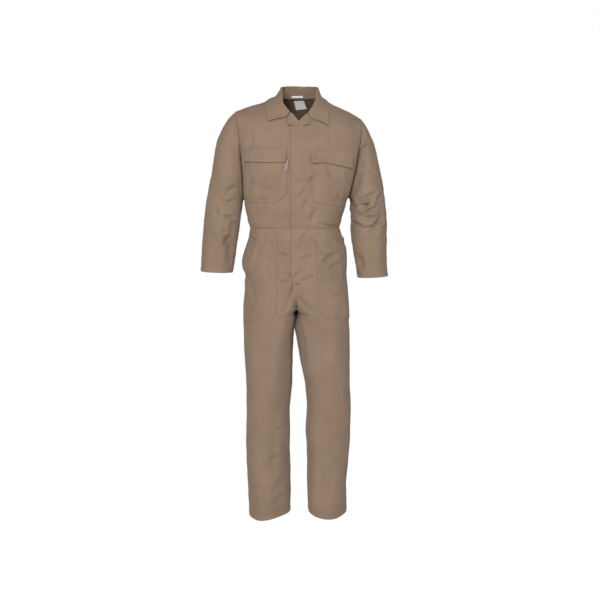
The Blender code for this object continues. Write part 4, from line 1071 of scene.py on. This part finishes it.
def collar_half(side, skin, at):
    """Lines of half the collar: up the stand, over the fold and down the leaf."""
    rows = COLLAR[side]
    fold, leaf = (np.stack([smooth(at, rows["at"], rows[line + k]) for k in "xyz"], -1)
                  * np.array([SIGN[side], 1, 1]) for line in ("fold_", "leaf_"))
    away = unit((leaf - fold) * np.array([1, 1, 0]))
    up = np.array([0, 0, 1.0])
    lying = np.clip((0.44 - at) / 0.2, 0, 1)
    standing = (1 - lying)[:, None]
    drop = ease((at - 0.42) / 0.1)
    seam = (neck_seam(side, at) - away * (0.0012 + 0.0014 * drop)[:, None]
            + up * (0.0008 - NECK_SINK * drop)[:, None])
    clear = SEAM_CLEAR * np.clip((0.5 - at) / 0.1, 0, 1) - NECK_SINK * drop
    seam = settle(seam, skin, clear, lying)
    round_off = FOLD_RADIUS * 0.8
    inside, outside = (fold + away * (round_off * lying[:, None] + radius * standing)
                       - up * round_off * standing for radius in (-FOLD_RADIUS, FOLD_RADIUS))
    lines = [seam]
    for line, clear in ((seam * 0.45 + inside * 0.55, STAND_CLEAR), (inside, STAND_CLEAR),
                        (fold, (STAND_CLEAR + LEAF_CLEAR) / 2)):
        lines.append(settle(line, skin, clear, lying))
    notch = np.clip(1 - at / 0.3, 0, 1) * NOTCH_DROP
    hollow = 4 * LEAF_HOLLOW * bell((at - 0.5) / 0.15)
    for share in LEAF_SHARES:
        dip = min(share / LEAF_SHARES[1], (1 - share) / (1 - LEAF_SHARES[1]))
        sag = notch * dip + hollow * share * (1 - share)
        clear = LEAF_CLEAR - LEAF_SETTLES * share * ease((at - 0.12) / 0.2)
        clear -= 0.0020 * share * over_shoulder(at)
        lines.append(settle(mix(outside, leaf, share) - up * sag[:, None], skin,
                            clear if share else LEAF_CLEAR * lying, lying))
    return np.stack(lines)


def refined(lines, counts):
    """Grid lines with counts more steps in each gap: a cubic through four neighbours."""
    padded = np.concatenate([2 * lines[:1] - lines[1:2], lines, 2 * lines[-1:] - lines[-2:-1]])
    made = []
    for k, count in enumerate(counts):
        a, b, c, d = padded[k:k + 4]
        for t in np.arange(count) / count:
            made.append(0.5 * (2 * b + (c - a) * t + (2 * a - 5 * b + 4 * c - d) * t * t
                               + (3 * b - a - 3 * c + d) * t ** 3))
    return np.stack(made + [lines[-1]])


def collar():
    """Turned-down collar in one piece, and the blank woven label on its stand."""
    skin = neck_skin()
    at = np.concatenate([[0, 0.003, 0.007, 0.012, 0.02], np.linspace(0.03, 1, 90)])
    right, left = (collar_half(side, skin, at) for side in SIGN)
    middle = (right[:, -1:] + left[:, -1:]) / 2
    coarse = np.concatenate([right[:, :-1], middle, left[:, -2::-1]], axis=1)
    plain = refined(coarse, (10, 5, 4, 4, 4, 6, 6, 12))
    normal = grid_normals(plain)
    way = 1 if np.sum(normal * (plain - np.array([0, 0, -0.6]))) >= 0 else -1
    normal = normal * way
    edges = to_edges(plain)
    edge = np.minimum.reduce([edges[k] for k in (FIRST, LAST, BOTTOM)])
    leaf = ease((edges[TOP] - 0.035) / 0.02)
    lifted = 0.0022 * (1 - 0.8 * over_shoulder(np.concatenate([at[:-1], at[::-1]])))
    height = leaf * (layers(plain, "collar") + lifted * bell(edge / 0.006))
    height -= 0.0006 * bell((edge - 0.006) / 0.0015)
    outer = plain + normal * height[..., None]
    facing = grid_normals(outer) * way
    inner = outer - facing * (0.0016 * (0.35 + 0.65 * arc(edge / 0.0012)))[..., None]
    cloth("collar", outer, inner, way > 0, edge)
    sew("collar", outer, facing, edges, (BOTTOM, 0.0060))
    leaf_rows = slice(30, None)
    sew("collar", outer[leaf_rows], facing[leaf_rows], [d[leaf_rows] for d in edges],
        (FIRST, 0.0060), (LAST, 0.0060))
    stand = slice(2, 6), slice(outer.shape[1] // 2 - 9, outer.shape[1] // 2 + 10)
    woven("neck_label", outer[stand] + facing[stand] * LABEL_CLEAR, facing[stand],
          "white_label")


# ------------------------------------------------------------------------ labels
def woven(name, under, normal, slot, thickness=0.0008):
    """Small blank woven label on a grid of points, facing along the normals."""
    edge = np.minimum.reduce(to_edges(under))
    thick = thickness * (0.5 + 0.5 * ease(edge / 0.001)) + 0.0002 * uneven(under, 51, 0.008)
    top = under + normal * thick[..., None]
    outward = np.sum(grid_normals(top) * normal) >= 0
    cloth(name, top, under, outward, edge, slot=slot)


def care_label():
    """Label inside the back, below the neck seam, a little askew."""
    u, v = np.meshgrid(np.linspace(-0.5, 0.5, 22), np.linspace(0, 1, 16))
    x = 0.0076 + 0.0388 * u + 0.0085 * v
    z = 0.0066 + 0.0006 * u - (0.0305 - 0.0035 * u) * v
    y = np.where(x < 0, *(bodice_y(side, "back", np.clip(x * SIGN[side], 0, None), z)
                          for side in SIGN))
    plain = np.stack([x, y - TWILL - 0.0006, z], -1)
    normal = grid_normals(plain)
    normal = normal * np.where(normal[..., 1:2] > 0, -1, 1)
    woven("care_label", plain + normal * 0.0010, normal, "white_label")


def pocket_tab():
    """Blank tab sewn into the inner edge of the right chest pocket."""
    u, v = np.meshgrid(np.linspace(0, 1, 8), np.linspace(0, 1, 18))
    base, normal = front_at(-0.0440 + 0.0115 * u + 0.003 * (1 - v), -0.2200 - 0.036 * v + 0.004 * u)
    lifted = base + normal * (0.0034 + 0.0014 * np.sin(v * 3.0))[..., None]
    woven("pocket_tab", lifted, normal, "grey_tab", 0.0009)


# ---------------------------------------------------------------------- finishes
def set_inputs(tree, node, inputs):
    """A shader node's inputs, each a value or another node's output."""
    for key, value in dict(inputs).items():
        if isinstance(value, bpy.types.NodeSocket):
            tree.links.new(value, node.inputs[key])
        else:
            node.inputs[key].default_value = value


def shade(tree, kind, output, inputs=(), **settings):
    """One output of a new shader node with its settings and inputs."""
    node = tree.nodes.new("ShaderNode" + kind)
    for key, value in settings.items():
        setattr(node, key, value)
    set_inputs(tree, node, inputs)
    return output and node.outputs[output]


def twill(name, light, dark, pitch=0.0009, lines=0.00009, rough=0.86, sheen=0.12):
    """Woven cloth: fine diagonal lines on the piece's own cloth coordinates, yarn slubs
    along them, a slow change of colour over the piece, and paler wear by its seams. Its
    inner sheet can carry painted shade, mixed half way to a near-black brown."""
    made = bpy.data.materials.new(name)
    made.use_nodes = True
    tree = made.node_tree

    def add(kind, output, inputs=(), **settings):
        return shade(tree, kind, output, inputs, **settings)

    uv = add("TexCoord", "UV")
    turned = add("Mapping", "Vector", {"Vector": uv, "Rotation": (0, 0, math.radians(58))})
    rib = add("TexWave", "Fac", {
        "Vector": turned, "Scale": 0.31416 / pitch, "Distortion": 0.6, "Detail": 1.0,
        "Detail Scale": 2.0}, wave_type="BANDS", bands_direction="X")
    drawn_out = add("Mapping", "Vector", {"Vector": uv, "Scale": (1.0, 0.25, 1.0)})
    yarn = add("TexNoise", "Fac", {"Vector": drawn_out, "Scale": 900.0, "Detail": 3.0})
    wash = add("TexNoise", "Fac", {"Vector": uv.node.outputs["Object"], "Scale": 9.0,
                                   "Detail": 6.0, "Roughness": 0.62})
    tone = add("MapRange", "Result", {"Value": wash, "From Min": 0.25, "From Max": 0.75})
    fine = add("Math", "Value", {0: yarn, 1: 0.3, 2: tone}, operation="MULTIPLY_ADD")
    dyed = add("Mix", "Result", {"Factor": fine, "A": (*dark, 1), "B": (*light, 1)},
               data_type="RGBA", clamp_factor=True)
    from_seam = add("Attribute", "Fac", attribute_name="from_seam")
    worn = add("MapRange", "Result", {
        "Value": from_seam, "From Min": 0.0, "From Max": 0.010, "To Min": 0.22, "To Max": 0.0})
    pale = (*[min(1, c * 1.18) for c in light], 1)
    faded = add("Mix", "Result", {"Factor": worn, "A": dyed, "B": pale}, data_type="RGBA")
    # Painted shade: the inner sheet is mixed half way to a near-black brown, in place of the shadow
    # inside the suit.
    within = add("Attribute", "Fac", attribute_name="painted_inner_shade")
    painted_shade_share = add("MapRange", "Result", {"Value": within, "To Min": 0.0, "To Max": 0.50})
    painted_shade_colour = (*[c * 0.12 for c in dark], 1)
    colour = add("Mix", "Result", {"Factor": painted_shade_share, "A": faded, "B": painted_shade_colour}, data_type="RGBA")
    height = add("Math", "Value", {0: yarn, 1: 0.6, 2: rib}, operation="MULTIPLY_ADD")
    bump = add("Bump", "Normal", {"Height": height, "Strength": 0.6, "Distance": lines})
    set_inputs(tree, tree.nodes["Principled BSDF"], {
        "Base Color": colour, "Normal": bump, "Roughness": rough, "Sheen Weight": sheen,
        "Sheen Roughness": 0.5, "Specular IOR Level": 0.25})
    return made


FINISH = {
    CLOTH: twill("khaki_twill_cloth", (0.245, 0.1690, 0.1155), (0.192, 0.1315, 0.0895)),
    "white_label": twill("white_label_weave", (0.92, 0.90, 0.89), (0.78, 0.755, 0.745),
                         0.0005, 0.00003),
    "thread": twill("khaki_thread", (0.235, 0.158, 0.108), (0.205, 0.136, 0.092),
                    0.0004, 0.00002, 0.6, 0.05),
    "grey_tab": twill("grey_tab_weave", (0.270, 0.212, 0.192), (0.235, 0.184, 0.168),
                      0.0005, 0.00004),
}


def build_suit():
    """Every piece of the suit, dressed over its solid."""
    bodice_back()
    for side, arm, front, back in (("right", 0.2075, 0.297, 0.306), ("left", 0.1955, 0.295, 0.304)):
        bodice_front(side)
        sleeve(side)
        trouser(side, "front")
        trouser(side, "back")
        chest_pocket(side)
        chest_flap(side)
        hip_pocket(side)
        revers(side)
    fly_strip()
    collar()
    care_label()
    pocket_tab()
    for group in sorted(SEWN):
        stitching(group)


# ------------------------------------------------------------------------ studio
# Soft square lights: name, place, aim, size and power.
LAMPS = (
    ("key_light", (-1.6, -7.1, 2.7), (0, 0, -0.8), 2.4, 450),
    ("side_light", (-4.6, -3.6, 0.2), (0, 0, -0.9), 3.0, 80),
    ("fill_light", (4.2, -4.3, -0.5), (0, 0, -0.9), 3.0, 152),
    ("rear_light", (0.3, 3.4, 0.4), (0, 0, -0.7), 2.0, 90),
)
WHITE = (1, 1, 1, 1)
SOFT_LIGHT = 0.16       # strength of the surround on the suit; it looks plain white
FLOOR_HALF = 40.0
CAMERA = {"lens": 58.012, "place": (0.01125, -3.6, -0.30225), "down": 6.831}   # down: degrees


def studio():
    """White surround, large pale floor, soft lights and the camera."""
    scene = bpy.context.scene
    view = scene.view_settings
    view.view_transform, view.look, view.exposure, view.gamma = "Standard", "None", 0.0, 1.0
    for name, at, aim, size, power in LAMPS:
        data = bpy.data.lights.new(name, "AREA")
        data.shape, data.size, data.energy = "SQUARE", size, power
        thing = add_object(name, data)
        thing.location = at
        thing.rotation_euler = (Vector(aim) - Vector(at)).to_track_quat("-Z", "Y").to_euler()

    scene.world = world = bpy.data.worlds.new("studio")
    world.use_nodes = True
    tree = world.node_tree
    tree.nodes.clear()
    seen = shade(tree, "LightPath", "Is Camera Ray")
    dim, bright = (shade(tree, "Background", "Background", {"Color": WHITE, "Strength": strength})
                   for strength in (SOFT_LIGHT, 1.0))
    surround = shade(tree, "MixShader", "Shader", {"Fac": seen, 1: dim, 2: bright})
    shade(tree, "OutputWorld", None, {"Surface": surround})

    paper = bpy.data.materials.new("floor_paper")
    paper.use_nodes = True
    tree = paper.node_tree
    matt = tree.nodes["Principled BSDF"]
    set_inputs(tree, matt, {"Base Color": (0.60, 0.60, 0.60, 1), "Roughness": 0.9})
    seen = shade(tree, "LightPath", "Is Camera Ray")
    glow = shade(tree, "Emission", "Emission")
    face = shade(tree, "MixShader", "Shader", {"Fac": seen, 1: matt.outputs["BSDF"], 2: glow})
    set_inputs(tree, tree.nodes["Material Output"], {"Surface": face})
    corners = np.array([[-1, -1], [1, -1], [1, 1], [-1, 1]]) * FLOOR_HALF
    corners = np.column_stack([corners, np.full(4, FLOOR_Z)])
    add_mesh("floor", corners, np.array([[0, 1, 2, 3]]), paper)

    data = bpy.data.cameras.new("camera")
    data.lens, data.sensor_width = CAMERA["lens"], 36.0
    data.clip_start, data.clip_end = 0.05, 200.0
    scene.camera = add_object("camera", data)
    scene.camera.location = CAMERA["place"]
    scene.camera.rotation_euler = (math.radians(90 - CAMERA["down"]), 0, 0)


build_suit()
studio()
